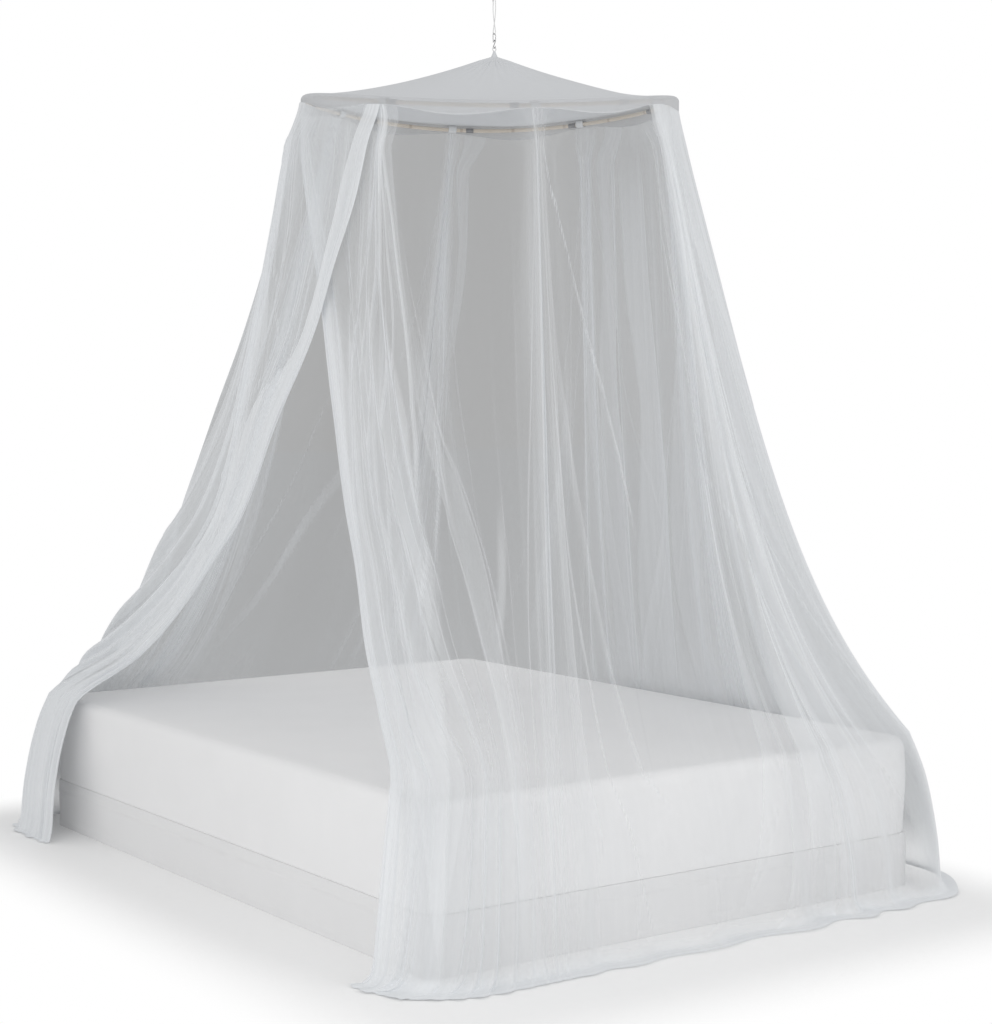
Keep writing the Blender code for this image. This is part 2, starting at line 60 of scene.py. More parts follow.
# ------------------------------------------------------------------------------ the cord
# One thin white cotton cord, three strands laid together. It is doubled: down from its knot,
# round the ring, back up past the knot and over the ceiling hook. The knot is tied in itself.
HANGER_X, HANGER_Y = 0.090, -0.067
CORD_RADIUS = 0.00125
CORD_LOW = 2.27065                      # middle line's lowest point, in the ring
CORD_HIGH = 2.39905                     # and its highest, over the ceiling hook
CORD_BEND = 0.0052
KNOT_LOW, KNOT_HIGH = 0.0900, 0.1000    # above the cord's lowest point
KNOT_TURNS, KNOT_REACH = 3.5, 0.0017    # windings of the knot, and their radius
KNOT_STRAND = 0.00115                   # radius of the cord in it, drawn tight
KNOT_START, KNOT_RISE = 0.0014, 0.0072  # above its lower end
CORD_LAY = 0.0062                       # the strands go round once in this length
STRAND_GROOVE = 0.20                    # depth of the groove between strands, of the radius
CORD_STRANDS = (
    # height above the lowest point, along X, along Y: one run; the other is its mirror
    (0.0100, 0.0000, 0.0050),
    (0.0250, 0.0016, 0.0036),
    (0.0420, 0.0028, 0.0014),
    (0.0580, 0.0026, -0.0014),
    (0.0720, 0.0018, -0.0034),
    (0.0860, 0.0006, -0.0046),
)


class Value:
    """A number at a socket. Python's arithmetic on it adds the Math nodes that work it out."""

    def __init__(self, finish, socket):
        self.finish, self.socket = finish, socket

    def math(self, operation, *others, first=None):
        values = [self if first is None else first, *others]
        return self.finish.node("ShaderNodeMath", {"operation": operation},
                                dict(enumerate(values)))

    def __add__(self, other):
        return self.math("ADD", other)

    def __sub__(self, other):
        return self.math("SUBTRACT", other)

    def __rsub__(self, other):
        return self.math("SUBTRACT", self, first=other)

    def __mul__(self, other):
        return self.math("MULTIPLY", other)

    def __truediv__(self, other):
        return self.math("DIVIDE", other)

    def __pow__(self, other):
        return self.math("POWER", other)

    def __rpow__(self, other):
        return self.math("POWER", self, first=other)

    __radd__, __rmul__ = __add__, __mul__

    def sine(self):
        return self.math("SINE")

    def cosine(self):
        return self.math("COSINE")

    def at_least(self, low):
        return self.math("MAXIMUM", low)

    def at_most(self, high):
        return self.math("MINIMUM", high)

    def rise(self, start, end):
        """0 up to start, 1 from end on, and a soft step between."""
        return self.finish.node("ShaderNodeMapRange", {"interpolation_type": "SMOOTHSTEP"},
                                {"Value": self, "From Min": start, "From Max": end})


class Finish:
    """A procedural material. Every node in it is added by node()."""

    def __init__(self, name, tree=None):
        if tree is None:
            self.material = bpy.data.materials.new(name)
            self.material.use_nodes = True
            tree = self.material.node_tree
            self.shader = tree.nodes["Principled BSDF"]
        self.tree = tree

    def node(self, kind, settings=None, sockets=None, output=0):
        """Adds a node, sets it up, fills its sockets with values or links, gives an output."""
        made = self.tree.nodes.new(kind)
        for key, value in (settings or {}).items():
            setattr(made, key, value)
        self.fill(made, sockets or {})
        return Value(self, made.outputs[output])

    def fill(self, made, sockets):
        for key, value in sockets.items():
            if isinstance(value, Value):
                self.tree.links.new(value.socket, made.inputs[key])
            else:
                made.inputs[key].default_value = value

    def shade(self, sockets):
        """Fills the shader's own sockets."""
        self.fill(self.shader, sockets)
        return self

    def coordinates(self, source):
        """The place on the piece in metres: its Object coordinates or its own UV map."""
        return self.node("ShaderNodeTexCoord", output={"Object": 3, "UV": 2}[source])

    def place(self, scale=(1.0, 1.0, 1.0), source="Object"):
        """Coordinates times a scale each way."""
        return self.node("ShaderNodeMapping", None,
                         {"Vector": self.coordinates(source), "Scale": scale})

    def along(self, axis, source="UV"):
        """One coordinate as a number."""
        return self.node("ShaderNodeSeparateXYZ", None, {0: self.coordinates(source)},
                         output=axis)

    def noise(self, place, scale, detail=2.0, rough=0.5):
        """Soft noise from 0 to 1 round 0.5, with scale cells to a metre."""
        return self.node("ShaderNodeTexNoise", None, {"Vector": place, "Scale": scale,
                                                      "Detail": detail, "Roughness": rough})

    def blend(self, share, low, high):
        """A colour between two."""
        return self.node("ShaderNodeMix", {"data_type": "RGBA"},
                         {"Factor": share, 6: (*low, 1.0), 7: (*high, 1.0)}, output=2)

    def bump(self, height, depth):
        """The Normal for a relief whose height goes from 0 to 1 over a depth in metres."""
        return self.node("ShaderNodeBump", None,
                         {"Height": height, "Distance": depth, "Strength": 1.0})


def smooth_line(knots, steps):
    """Points on a curve through knots, steps to a span: a cubic whose slope at each knot is
    half the way from the knot before it to the knot after it."""
    line = np.asarray(knots, float)
    padded = np.vstack([2 * line[0] - line[1], line, 2 * line[-1] - line[-2]])
    place = np.linspace(0, len(line) - 1, (len(line) - 1) * steps + 1)
    span = np.minimum(place.astype(int), len(line) - 2)
    t = (place - span)[:, None]
    before, start, end, after = (padded[span + i] for i in range(4))
    return 0.5 * (2 * start + (end - before) * t
                  + (2 * before - 5 * start + 4 * end - after) * t ** 2
                  + (3 * start - before - 3 * end + after) * t ** 3)


def arc(centre, radius, start, end, steps, plane):
    """Points on an arc in the XZ or the YZ plane: centre + radius (cos, sin) of the angle."""
    angle = np.radians(np.linspace(start, end, steps + 1))
    points = np.tile(np.array(centre, float), (steps + 1, 1))
    points[:, "XY".index(plane[0])] += radius * np.cos(angle)
    points[:, 2] += radius * np.sin(angle)
    return points


def run_length(points):
    """Distance along a line of points, from its first to each of them."""
    steps = np.linalg.norm(np.diff(points, axis=0), axis=-1)
    return np.concatenate([[0.0], np.cumsum(steps)])


def tube(line, radius, sides, side_way, joined=False):
    """A skin round a line: point + radius (cos turn * across + sin turn * up), where across is
    at right angles to the line and to side_way. radius is a number or a grid of line by side.
    Gives the grid of points and its UV map in metres, round and along."""
    line = np.asarray(line, float)
    if joined:
        ahead = np.roll(line, -1, axis=0) - np.roll(line, 1, axis=0)
    else:
        ahead = np.gradient(line, axis=0)
    ahead /= np.linalg.norm(ahead, axis=1, keepdims=True)
    across = np.cross(ahead, side_way)
    across /= np.linalg.norm(across, axis=1, keepdims=True)
    up = np.cross(across, ahead)
    turn = np.linspace(0, 2 * math.pi, sides, endpoint=False)
    ring = (np.cos(turn)[None, :, None] * across[:, None, :]
            + np.sin(turn)[None, :, None] * up[:, None, :])
    reach = np.broadcast_to(np.asarray(radius, float), (len(line), sides))
    points = line[:, None, :] + ring * reach[:, :, None]
    stops = run_length(np.vstack([line, line[:1]]) if joined else line)
    round_it = np.linspace(0, 2 * math.pi, sides + 1) * float(np.mean(reach))
    uv = np.stack(np.broadcast_arrays(round_it[None, :], stops[:, None]), axis=-1)
    return points, uv


def skin(name, points, finish, uv=None, around=False, joined=False, ends=False, values=None):
    """Makes a piece from a grid of points, a quad between each four neighbours. around joins
    its last column to its first, joined its last row to its first, ends closes both ends. A
    closed piece is turned face outwards by the sign of its volume."""
    rows, columns = points.shape[:2]
    row = np.arange(rows if joined else rows - 1)
    column = np.arange(columns if around else columns - 1)
    row, column = (part.ravel() for part in np.meshgrid(row, column, indexing="ij"))
    corner_row = np.stack([row, row, row + 1, row + 1], axis=1)
    corner_column = np.stack([column, column + 1, column + 1, column], axis=1)
    quads = (corner_row % rows) * columns + corner_column % columns
    flat = points.reshape(-1, 3)
    fans = [np.arange(columns)[::-1], np.arange(columns) + (rows - 1) * columns] if ends else []
    if around and (ends or joined):
        a, b, c, d = (flat[quads[:, i]] - flat.mean(axis=0) for i in range(4))
        volume = np.einsum("ij,ij->", a, np.cross(b, c) + np.cross(c, d))
        if volume < 0:
            quads, fans = quads[:, ::-1], [fan[::-1] for fan in fans]
            corner_row, corner_column = corner_row[:, ::-1], corner_column[:, ::-1]
    mesh = bpy.data.meshes.new(name)
    mesh.from_pydata(flat, [], [*quads.tolist(), *(fan.tolist() for fan in fans)])
    mesh.polygons.foreach_set("use_smooth", np.ones(len(mesh.polygons), bool))
    if uv is not None:
        corners = uv[corner_row, corner_column].reshape(-1, 2)
        corners = np.vstack([corners, np.zeros((len(mesh.loops) - len(corners), 2))])
        mesh.uv_layers.new(name="cloth").data.foreach_set("uv", corners.ravel())
    if values is not None:
        layers = mesh.attributes.new("layers", "FLOAT", "POINT")
        layers.data.foreach_set("value", values.ravel())
    mesh.update()
    piece = bpy.data.objects.new(name, mesh)
    bpy.context.scene.collection.objects.link(piece)
    mesh.materials.append(finish.material)
    return piece


def bar(name, line, radius, sides, side_way, finish, joined=False):
    """A piece that is a tube along a line. Its two ends are closed or, if joined, they meet."""
    points, uv = tube(line, radius, sides, side_way, joined)
    return skin(name, points, finish, uv, around=True, joined=joined, ends=not joined)


def fit(piece, slot, *nodes):
    """The piece rides on the one body and stands for its CAD nodes, which are hidden; slot is not
    used.
    """
    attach(piece, "root")
    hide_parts(*nodes)
    return piece


def three_strands(line, radius, sides):
    """The radius round three laid strands: three lobes, turning once in each lay's length."""
    stops = run_length(line)
    turn = np.linspace(0, 2 * math.pi, sides, endpoint=False)
    lobe = np.abs(np.cos(1.5 * (turn[None, :] - 2 * math.pi * stops[:, None] / CORD_LAY)))
    return radius * (1 - STRAND_GROOVE + STRAND_GROOVE * 1.12 * lobe ** 0.7)


def cotton_cord():
    """Soft white cotton: fibres run along the strands, and the colour is a little darker where their
    relief is low: painted shade in the grooves.
    """
    finish = Finish("cotton_cord")
    fibre = finish.noise(finish.place((9000, 900, 1), "UV"), 1.0, 3.0)
    # The colour follows the fibre relief, darker where it lies low: painted shade in the grooves.
    finish.shade({"Base Color": finish.blend(fibre, (0.66, 0.66, 0.66), (0.84, 0.84, 0.84)),
                  "Roughness": 0.85, "Sheen Weight": 0.3,
                  "Normal": finish.bump(fibre, 0.0002)})
    return finish


knot_z = CORD_LOW + KNOT_LOW
run_down = [(HANGER_X - x, HANGER_Y - y, CORD_LOW + z) for z, x, y in reversed(CORD_STRANDS)]
run_up = [(HANGER_X + x, HANGER_Y + y, CORD_LOW + z) for z, x, y in CORD_STRANDS]
cord_knots = np.vstack([
    [(HANGER_X, HANGER_Y + CORD_BEND, knot_z)], run_down,
    arc((HANGER_X, HANGER_Y, CORD_LOW + CORD_BEND), CORD_BEND, 200, 340, 6, "YZ"), run_up,
    [(HANGER_X, HANGER_Y - CORD_BEND, knot_z)],
    arc((HANGER_X, HANGER_Y, CORD_HIGH - CORD_BEND), CORD_BEND, 180, 0, 8, "YZ"),
    [(HANGER_X, HANGER_Y + CORD_BEND, CORD_LOW + KNOT_HIGH)],
])
cord_line = smooth_line(cord_knots, 14)
cord_finish = cotton_cord()
cord = fit(bar("cord", cord_line, three_strands(cord_line, CORD_RADIUS, 18), 18, (1, 0, 0),
               cord_finish), "cord", "hanging_cord")

# The knot: the cord's end wound three and a half times round its own run and drawn tight.
knot_turn = np.linspace(0, 2 * KNOT_TURNS * math.pi, 90)
knot_share = knot_turn / knot_turn[-1]
knot_reach = KNOT_REACH * (0.75 + 0.25 * np.sin(math.pi * knot_share))
knot_line = np.stack([HANGER_X + knot_reach * np.cos(knot_turn),
                      HANGER_Y + CORD_BEND + knot_reach * np.sin(knot_turn),
                      knot_z + KNOT_START + KNOT_RISE * knot_share], axis=1)
knot = fit(bar("knot", knot_line, three_strands(knot_line, KNOT_STRAND, 12), 12, (0, 0, 1),
               cord_finish), "cord", "cord_knot")

# ------------------------------------------------------------------------------ ceiling hook
# Bent steel wire, screwed up into a small round pressed plate. The cord's loop hangs in it.
CEILING = 2.44
PLATE_RADIUS, PLATE_THICKNESS = 0.020, 0.003
CEILING_WIRE = 0.0015
CEILING_BEND = 0.0080
CEILING_LOW = 2.396                     # the wire's middle line, at the bottom of the bend
SHANK_STOPS = (0.012, 0.004)            # points of its shank, above the bend's top
GAP = 0.0003                            # left between two pieces that touch


def drawn_steel(name, dark, light, roughness):
    """Drawn steel: faint lines along the wire and a slightly uneven polish."""
    finish = Finish(name)
    lines = finish.noise(finish.place((4000, 150, 1), "UV"), 1.0, 2.0)
    cloud = finish.noise(finish.place(), 300.0, 2.0)
    finish.shade({"Base Color": finish.blend(cloud, dark, light), "Metallic": 1.0,
                  "Roughness": roughness + 0.25 * lines * cloud,
                  "Normal": finish.bump(lines, 0.00003)})
    return finish


def turned(name, profile, centre, finish, sides=48):
    """A profile of (radius, height) pairs turned round an upright axis through centre."""
    profile = np.asarray(profile, float)
    turn = np.linspace(0, 2 * math.pi, sides, endpoint=False)
    points = np.empty((len(profile), sides, 3))
    points[..., 0] = centre[0] + profile[:, :1] * np.cos(turn)
    points[..., 1] = centre[1] + profile[:, :1] * np.sin(turn)
    points[..., 2] = centre[2] + profile[:, 1:]
    stops = run_length(profile)
    uv = np.stack(np.broadcast_arrays(np.linspace(0, 2 * math.pi, sides + 1)[None, :]
                                      * profile[:, 0].max(), stops[:, None]), axis=-1)
    return skin(name, points, finish, uv, around=True, ends=True)


def blunt(to_end, tip, pace):
    """How much of its radius a wire has near its end: tip + distance to the end / pace, to 1."""
    return np.minimum(1.0, tip + to_end / pace)[:, None]


wire_steel = drawn_steel("wire_steel", (0.38, 0.38, 0.38), (0.60, 0.60, 0.61), 0.22)
bend_middle = CEILING_LOW + CEILING_BEND
hook_line = smooth_line(np.vstack([
    [(HANGER_X, HANGER_Y, CEILING - PLATE_THICKNESS - GAP)],
    [(HANGER_X, HANGER_Y, bend_middle + CEILING_BEND + stop) for stop in SHANK_STOPS],
    arc((HANGER_X, HANGER_Y, bend_middle), CEILING_BEND, 108, 375, 14, "XZ"),
]), 6)
stops = run_length(hook_line)
fit(bar("ceiling_hook_wire", hook_line, CEILING_WIRE * blunt(stops[-1] - stops, 0.55, 0.003), 20,
        (0, 1, 0), wire_steel), "steel", "ceiling_hook")
plate = turned("ceiling_plate_pressed", [
    (0.0004, -0.0030), (0.0055, -0.0030), (0.0062, -0.0027), (0.0070, -0.0021),
    (0.0170, -0.0021), (0.0182, -0.0018), (0.0190, -0.0010), (0.0198, -0.0006),
    (PLATE_RADIUS, -0.0003), (0.0199, 0.0), (0.0004, 0.0),
], (HANGER_X, HANGER_Y, CEILING), wire_steel)
fit(plate, "steel", "ceiling_plate")

# ------------------------------------------------------------------------------ ring and hook
# An oval ring of steel wire takes the cord, and a small S-shaped hook of the same wire joins
# it to the loop on the crown.
WIRE = 0.0012
HOOK_BEND = 0.0050
HOOK_LOW_MIDDLE, HOOK_HIGH_MIDDLE = 2.2385, 2.2505
RING_LOW, RING_HEIGHT, RING_WIDTH = 2.2528, 0.0206, 0.0086

hook_line = smooth_line(np.vstack([
    arc((HANGER_X, HANGER_Y, HOOK_LOW_MIDDLE), HOOK_BEND, 170, 350, 9, "YZ"),
    arc((HANGER_X, HANGER_Y, HOOK_HIGH_MIDDLE), HOOK_BEND, 170, -10, 9, "YZ")]), 6)
stops = run_length(hook_line)
to_end = np.minimum(stops, stops[-1] - stops)
fit(bar("s_hook", hook_line, WIRE * blunt(to_end, 0.6, 0.002), 18, (1, 0, 0), wire_steel),
    "steel", "hanging_hook")

ring_bend = RING_WIDTH / 2
ring_line = smooth_line(np.vstack([
    arc((HANGER_X, HANGER_Y, RING_LOW + ring_bend), ring_bend, 180, 360, 8, "XZ"),
    arc((HANGER_X, HANGER_Y, RING_LOW + RING_HEIGHT - ring_bend), ring_bend, 0, 180, 8, "XZ"),
    [(HANGER_X - ring_bend, HANGER_Y, RING_LOW + ring_bend)]]), 5)[:-1]
fit(bar("oval_ring", ring_line, WIRE, 18, (0, 1, 0), wire_steel, joined=True), "steel",
    "hanging_ring")

# ------------------------------------------------------------------------------ crown
# A turned plug that the roof's neck is bound round with thread, and a loop of bound cord that
# stands on it for the hook.
TENT_HEIGHT = 2.225
CROWN_HEIGHT = 0.0120
CROWN_LOOP, CROWN_LOOP_WIRE = 0.0055, 0.0013
LOOP_POINTS, THREAD_TURNS = 160, 40     # the thread round the loop shows as small ridges


def woven_tape():
    """White cotton tape: crossed threads a third of a millimetre apart, faintly soiled, and darker
    between the threads in painted shade.
    """
    finish = Finish("woven_tape")
    across = (finish.along(0) * 9500).sine()
    along = (finish.along(1) * 9500).sine()
    weave = across * along * 0.5 + 0.5
    cloud = finish.noise(finish.place(), 60.0, 3.0)
    # Darker where the weave's relief lies low, painted shade between the threads; the cloud is faint
    # soiling.
    finish.shade({"Base Color": finish.blend(weave * 0.4 + cloud * 0.6, (0.66, 0.67, 0.68),
                                             (0.82, 0.83, 0.84)),
                  "Roughness": 0.8, "Sheen Weight": 0.25,
                  "Normal": finish.bump(weave, 0.00012)})
    return finish


tape_finish = woven_tape()
plug = turned("crown_plug", [
    (0.0003, 0.0), (0.0068, 0.0), (0.0072, 0.0006), (0.0060, 0.0022), (0.0044, 0.0052),
    (0.0031, 0.0088), (0.0024, 0.0116), (0.0018, 0.0122), (0.0003, 0.0123),
], (HANGER_X, HANGER_Y, TENT_HEIGHT + GAP - CROWN_HEIGHT), tape_finish)
fit(plug, "tape", "crown_binding")
loop_turn = np.linspace(0, 2 * math.pi, LOOP_POINTS, endpoint=False)
loop_line = np.stack([HANGER_X + CROWN_LOOP * np.cos(loop_turn), np.full(LOOP_POINTS, HANGER_Y),
                      TENT_HEIGHT + GAP + CROWN_LOOP + CROWN_LOOP * np.sin(loop_turn)], axis=1)
bound = CROWN_LOOP_WIRE * (0.93 + 0.07 * np.cos(THREAD_TURNS * loop_turn))
fit(bar("crown_loop", loop_line, bound[:, None], 14, (0, 1, 0), cord_finish, joined=True),
    "tape", "crown_binding")

# ------------------------------------------------------------------------------ the hoop
# Ten split bamboo rods bent to a ring, their ends in steel sleeves. It hangs a little tilted
# and bent, in eight tape loops sewn under the roof's edge.
HOOP_CENTRE = (0.080, -0.060)
HOOP_HEIGHT, HOOP_RADIUS = 2.063, 0.505
HOOP_TILT, HOOP_TILT_TOWARDS = 0.036, 237.0
HOOP_SADDLE = 0.023
ROD_RADIUS, ROD_COUNT, FIRST_SLEEVE = 0.0055, 10, 25.5
ROD_SHORT = 0.04                        # degrees that a rod ends short of its neighbour
JOINT_PITCH, JOINT_WIDTH = 0.161, 0.0035    # the bamboo's own swollen joints, along a rod
JOINT_WAVES = 39.0                      # radians to a metre: once round in that pitch
SLEEVE_BORE, SLEEVE_OUTER, SLEEVE_LENGTH = 0.0058, 0.0075, 0.022
SLEEVE_PROFILE = (
    # share of its half length, depth under its outer radius: a rim, a groove, a waist
    (-1.00, 0.0017), (-1.00, 0.0005), (-0.97, 0.0), (-0.90, 0.0), (-0.84, 0.0006),
    (-0.50, 0.0005),
)
LOOP_COUNT, FIRST_LOOP = 8, 22.5
LOOP_OUTER, LOOP_TAPE, LOOP_WIDTH, LOOP_SHIFT = 0.0102, 0.0015, 0.024, 0.00163
LOOP_RIPPLE, LOOP_GIRTH = 0.0002, 0.064


def hoop_height(angle):
    """Height of the hoop's middle line: level, less a tilt (cos) and a bend (cos of twice)."""
    turn = np.radians(angle - HOOP_TILT_TOWARDS)
    return HOOP_HEIGHT - HOOP_TILT * np.cos(turn) - HOOP_SADDLE * np.cos(2 * turn)


def ring_point(angle, radius, lift=0.0):
    """Points round the hoop at a radius, and at a lift over its middle line."""
    turn = np.radians(angle)
    x, y, z = np.broadcast_arrays(HOOP_CENTRE[0] + radius * np.cos(turn),
                                  HOOP_CENTRE[1] + radius * np.sin(turn),
                                  hoop_height(angle) + lift)
    return np.stack([x, y, z], axis=-1)


def ring_frame(angle, spread, sides):
    """The way the hoop runs at an angle, from spread degrees before it to as much after it,
    and the arrows round it there: cos turn * across + sin turn * up."""
    ends = ring_point(angle + np.array([-spread, spread]), HOOP_RADIUS)
    ahead = (ends[1] - ends[0]) / np.linalg.norm(ends[1] - ends[0])
    across = np.cross(ahead, (0, 0, 1))
    across /= np.linalg.norm(across)
    up = np.cross(across, ahead)
    turn = np.linspace(0, 2 * math.pi, sides, endpoint=False)
    return ahead, turn, np.cos(turn)[:, None] * across + np.sin(turn)[:, None] * up


def split_bamboo():
    """Pale bamboo: fine fibres along the rod, browner at the joints, a thin waxy skin."""
    finish = Finish("split_bamboo")
    fibre = finish.noise(finish.place((900, 14, 1), "UV"), 1.0, 4.0)
    joint = (finish.along(1) * JOINT_WAVES + 0.6).sine().rise(0.975, 0.999)
    cloud = finish.noise(finish.place(), 14.0, 3.0)
    tone = (fibre * 0.6 + cloud * 0.5 - joint * 0.8).at_least(0.0).at_most(1.0)
    finish.shade({"Base Color": finish.blend(tone, (0.50, 0.42, 0.34), (0.77, 0.70, 0.60)),
                  "Roughness": 0.38 + 0.25 * fibre, "Coat Weight": 0.15,
                  "Normal": finish.bump(fibre, 0.0002)})
    return finish


bamboo_finish = split_bamboo()
sleeve_finish = drawn_steel("sleeve_steel", (0.16, 0.16, 0.16), (0.34, 0.34, 0.35), 0.30)
rod_pitch = 360.0 / ROD_COUNT
half_sleeve = math.degrees(SLEEVE_LENGTH / 2 / HOOP_RADIUS)
rim_share, rim_depth = np.array(SLEEVE_PROFILE).T
sleeve_share = np.concatenate([rim_share, -rim_share[::-1], [0.99, -0.99]])
sleeve_reach = np.concatenate([SLEEVE_OUTER - rim_depth, SLEEVE_OUTER - rim_depth[::-1],
                               [SLEEVE_BORE, SLEEVE_BORE]])
for k in range(ROD_COUNT):
    start = FIRST_SLEEVE + k * rod_pitch
    angle = np.linspace(start + ROD_SHORT, start + rod_pitch - ROD_SHORT, 120)
    along = np.radians(angle - start) * HOOP_RADIUS
    from_joint = np.mod(along + 0.045 + 0.021 * k, JOINT_PITCH) - 0.08
    swollen = ROD_RADIUS * (0.985 + 0.05 * np.exp(-(from_joint / JOINT_WIDTH) ** 2))
    fit(bar(f"bamboo_rod_{k + 1:02d}", ring_point(angle, HOOP_RADIUS), swollen[:, None], 16,
            (0, 0, 1), bamboo_finish), "bamboo", f"hoop_rod_{k + 1:02d}")

    ring = ring_frame(start, half_sleeve, 24)[2]
    line = ring_point(start + half_sleeve * sleeve_share, HOOP_RADIUS)
    points = line[:, None, :] + ring[None, :, :] * sleeve_reach[:, None, None]
    fit(skin(f"steel_sleeve_{k + 1:02d}", points, sleeve_finish, around=True, joined=True),
        "steel", f"hoop_ferrule_{k + 1:02d}")

# A tape loop is nine outlines across its outside and nine back across its inside.
half_place = np.linspace(-0.5, 0.5, 9)
place = np.concatenate([half_place, half_place[::-1]])
loop_reach = np.repeat([LOOP_OUTER - LOOP_RIPPLE, LOOP_OUTER - LOOP_TAPE], 9)
for k in range(LOOP_COUNT):
    middle = FIRST_LOOP + 360.0 / LOOP_COUNT * k
    ahead, turn, ring = ring_frame(middle, 1.0, 40)
    ripple = LOOP_RIPPLE * np.sin(5 * turn[None, :] + 9 * place[:, None])
    points = (ring_point(middle, HOOP_RADIUS + LOOP_SHIFT, LOOP_SHIFT)
              + ahead * (place * LOOP_WIDTH)[:, None, None]
              + ring[None, :, :] * (loop_reach[:, None] + ripple)[:, :, None])
    uv = np.stack(np.broadcast_arrays(np.linspace(0, LOOP_GIRTH, 41)[None, :],
                                      np.append(place, place[0])[:, None] * LOOP_WIDTH), axis=-1)
    fit(skin(f"tape_loop_{k + 1}", points, tape_finish, uv, around=True, joined=True),
        "tape", f"hoop_tab_{k + 1}")

# ------------------------------------------------------------------------------ tent roof
# A cone of fine knitted net gathered to a neck, drawn over the hoop and sewn to the hanging
# widths just under it. Its edge sags a little between the tape loops.
ROOF_OVER_HOOP = 0.01349                # the net passes this far over and outside the hoop
NET_RADIUS = HOOP_RADIUS + ROOF_OVER_HOOP
SEAM_DROP, SEAM_SAG = 0.009, 0.018
NECK_RADIUS = 0.00905
NECK_ROWS = ((0.0030, 0.000), (0.0042, 0.004), (0.0062, 0.009))     # radius, below the tip
ROOF_COLUMNS, SLOPE_ROWS, SHOULDER_ROWS, SKIRT_ROWS = 560, 52, 8, 6
SLOPE_CROWDING, TENT_POWER = 1.35, 1.6  # rows crowd to the neck; how hollow the slope is
GATHERS, GATHER_DEPTH, GATHER_REACH = (34, 55), 0.0016, 0.075
ROOF_SAG = 0.0035                       # half the roof's sag between two loops
# The roof's colour is the hanging net's cloth made darker: painted shade.
ROOF_SHADED_COLOUR, SKIRT_SHADE_COLOUR = (0.68, 0.695, 0.715), (0.58, 0.59, 0.605)
SEAM_BAND = 0.004                       # the turned-in edge, about two layers thick
MESH_PITCH = 0.0018                     # from one hole of the net to the next
MESH_CONTRAST = 0.22                    # how far the waves of its mesh change what it hides
LEAST_SLANT, MOST_HIDDEN = 0.13, 0.97


def seam_lift(angle):
    """How far the seam hangs under the hoop: a cosine dip between each two loops."""
    return -SEAM_DROP - SEAM_SAG * (1 - np.cos(np.radians((angle - FIRST_LOOP) * LOOP_COUNT))) / 2


def fine_net(name, thread, one_layer, streaks):
    """Knitted net. One layer hides one_layer of what is behind it; the piece's layers value and
    its slant to the eye add more. Hexagons from three waves at 60 degrees make the mesh, and
    streaks along the cloth come from its fine creases."""
    finish = Finish(name)
    layers = finish.node("ShaderNodeAttribute", {"attribute_name": "layers"}, output=2)
    facing = finish.node("ShaderNodeLayerWeight", None, {"Blend": 0.5}, output=1)
    slant = (1 - facing).at_least(LEAST_SLANT)
    streak = finish.noise(finish.place((70, 0.35, 1), "UV"), 1.0, 1.0)
    broad = finish.noise(finish.place((16, 0.30, 1), "UV"), 1.0, 1.0)
    u, v = (finish.along(axis) * (2 * math.pi / MESH_PITCH) for axis in (0, 1))
    waves = u.cosine() + (u * 0.5 + v * 0.866).cosine() + (u * 0.5 - v * 0.866).cosine()
    body = ((streak * 0.4 + broad - 0.7) * streaks + 1.0).at_least(0.3)
    hidden = 1 - (1 - one_layer) ** (layers * body * (1 - MESH_CONTRAST * waves) / slant)
    finish.shade({"Base Color": (*thread, 1.0), "Roughness": 0.9,
                  "Specular IOR Level": 0.1, "Sheen Weight": 0.1, "Sheen Roughness": 0.5,
                  "Alpha": hidden.at_most(MOST_HIDDEN), "Normal": finish.bump(broad, 0.0003)})
    return finish


def soft_rise(value, start, end):
    """0 up to start, 1 from end on: 3 t t - 2 t t t between."""
    t = np.clip((value - start) / (end - start), 0.0, 1.0)
    return t * t * (3 - 2 * t)


roof_finish = fine_net("roof_net", ROOF_SHADED_COLOUR, 0.72, 0.3)
roof_angle = np.linspace(0, 360, ROOF_COLUMNS, endpoint=False)
turn = np.radians(roof_angle)
slope_radius = NECK_RADIUS + (HOOP_RADIUS - NECK_RADIUS) * (
    np.linspace(0, 1, SLOPE_ROWS) ** SLOPE_CROWDING)
shoulder = np.radians(np.linspace(0, 90, SHOULDER_ROWS + 1)[1:])
skirt = np.linspace(0, 1, SKIRT_ROWS + 1)[1:, None]
neck_radius, neck_depth = np.array(NECK_ROWS).T
radius = np.concatenate([neck_radius, slope_radius,
                         HOOP_RADIUS + ROOF_OVER_HOOP * np.sin(shoulder),
                         np.full(SKIRT_ROWS, NET_RADIUS)])

# Heights row by row: the neck, the hollow slope, over the hoop, and down to the seam.
eaves = hoop_height(roof_angle) + ROOF_OVER_HOOP
rise = np.maximum(0.0, 1 - slope_radius / HOOP_RADIUS) ** TENT_POWER
slope_height = eaves[None, :] + (TENT_HEIGHT - CROWN_HEIGHT - eaves)[None, :] * rise[:, None]
neck_height = np.broadcast_to((TENT_HEIGHT - neck_depth)[:, None], (len(NECK_ROWS), ROOF_COLUMNS))
shoulder_height = eaves[None, :] - ROOF_OVER_HOOP * (1 - np.cos(shoulder))[:, None]
seam_height = hoop_height(roof_angle) + seam_lift(roof_angle)
skirt_height = shoulder_height[-1] * (1 - skirt) + seam_height * skirt
height = np.vstack([neck_height, slope_height, shoulder_height, skirt_height])

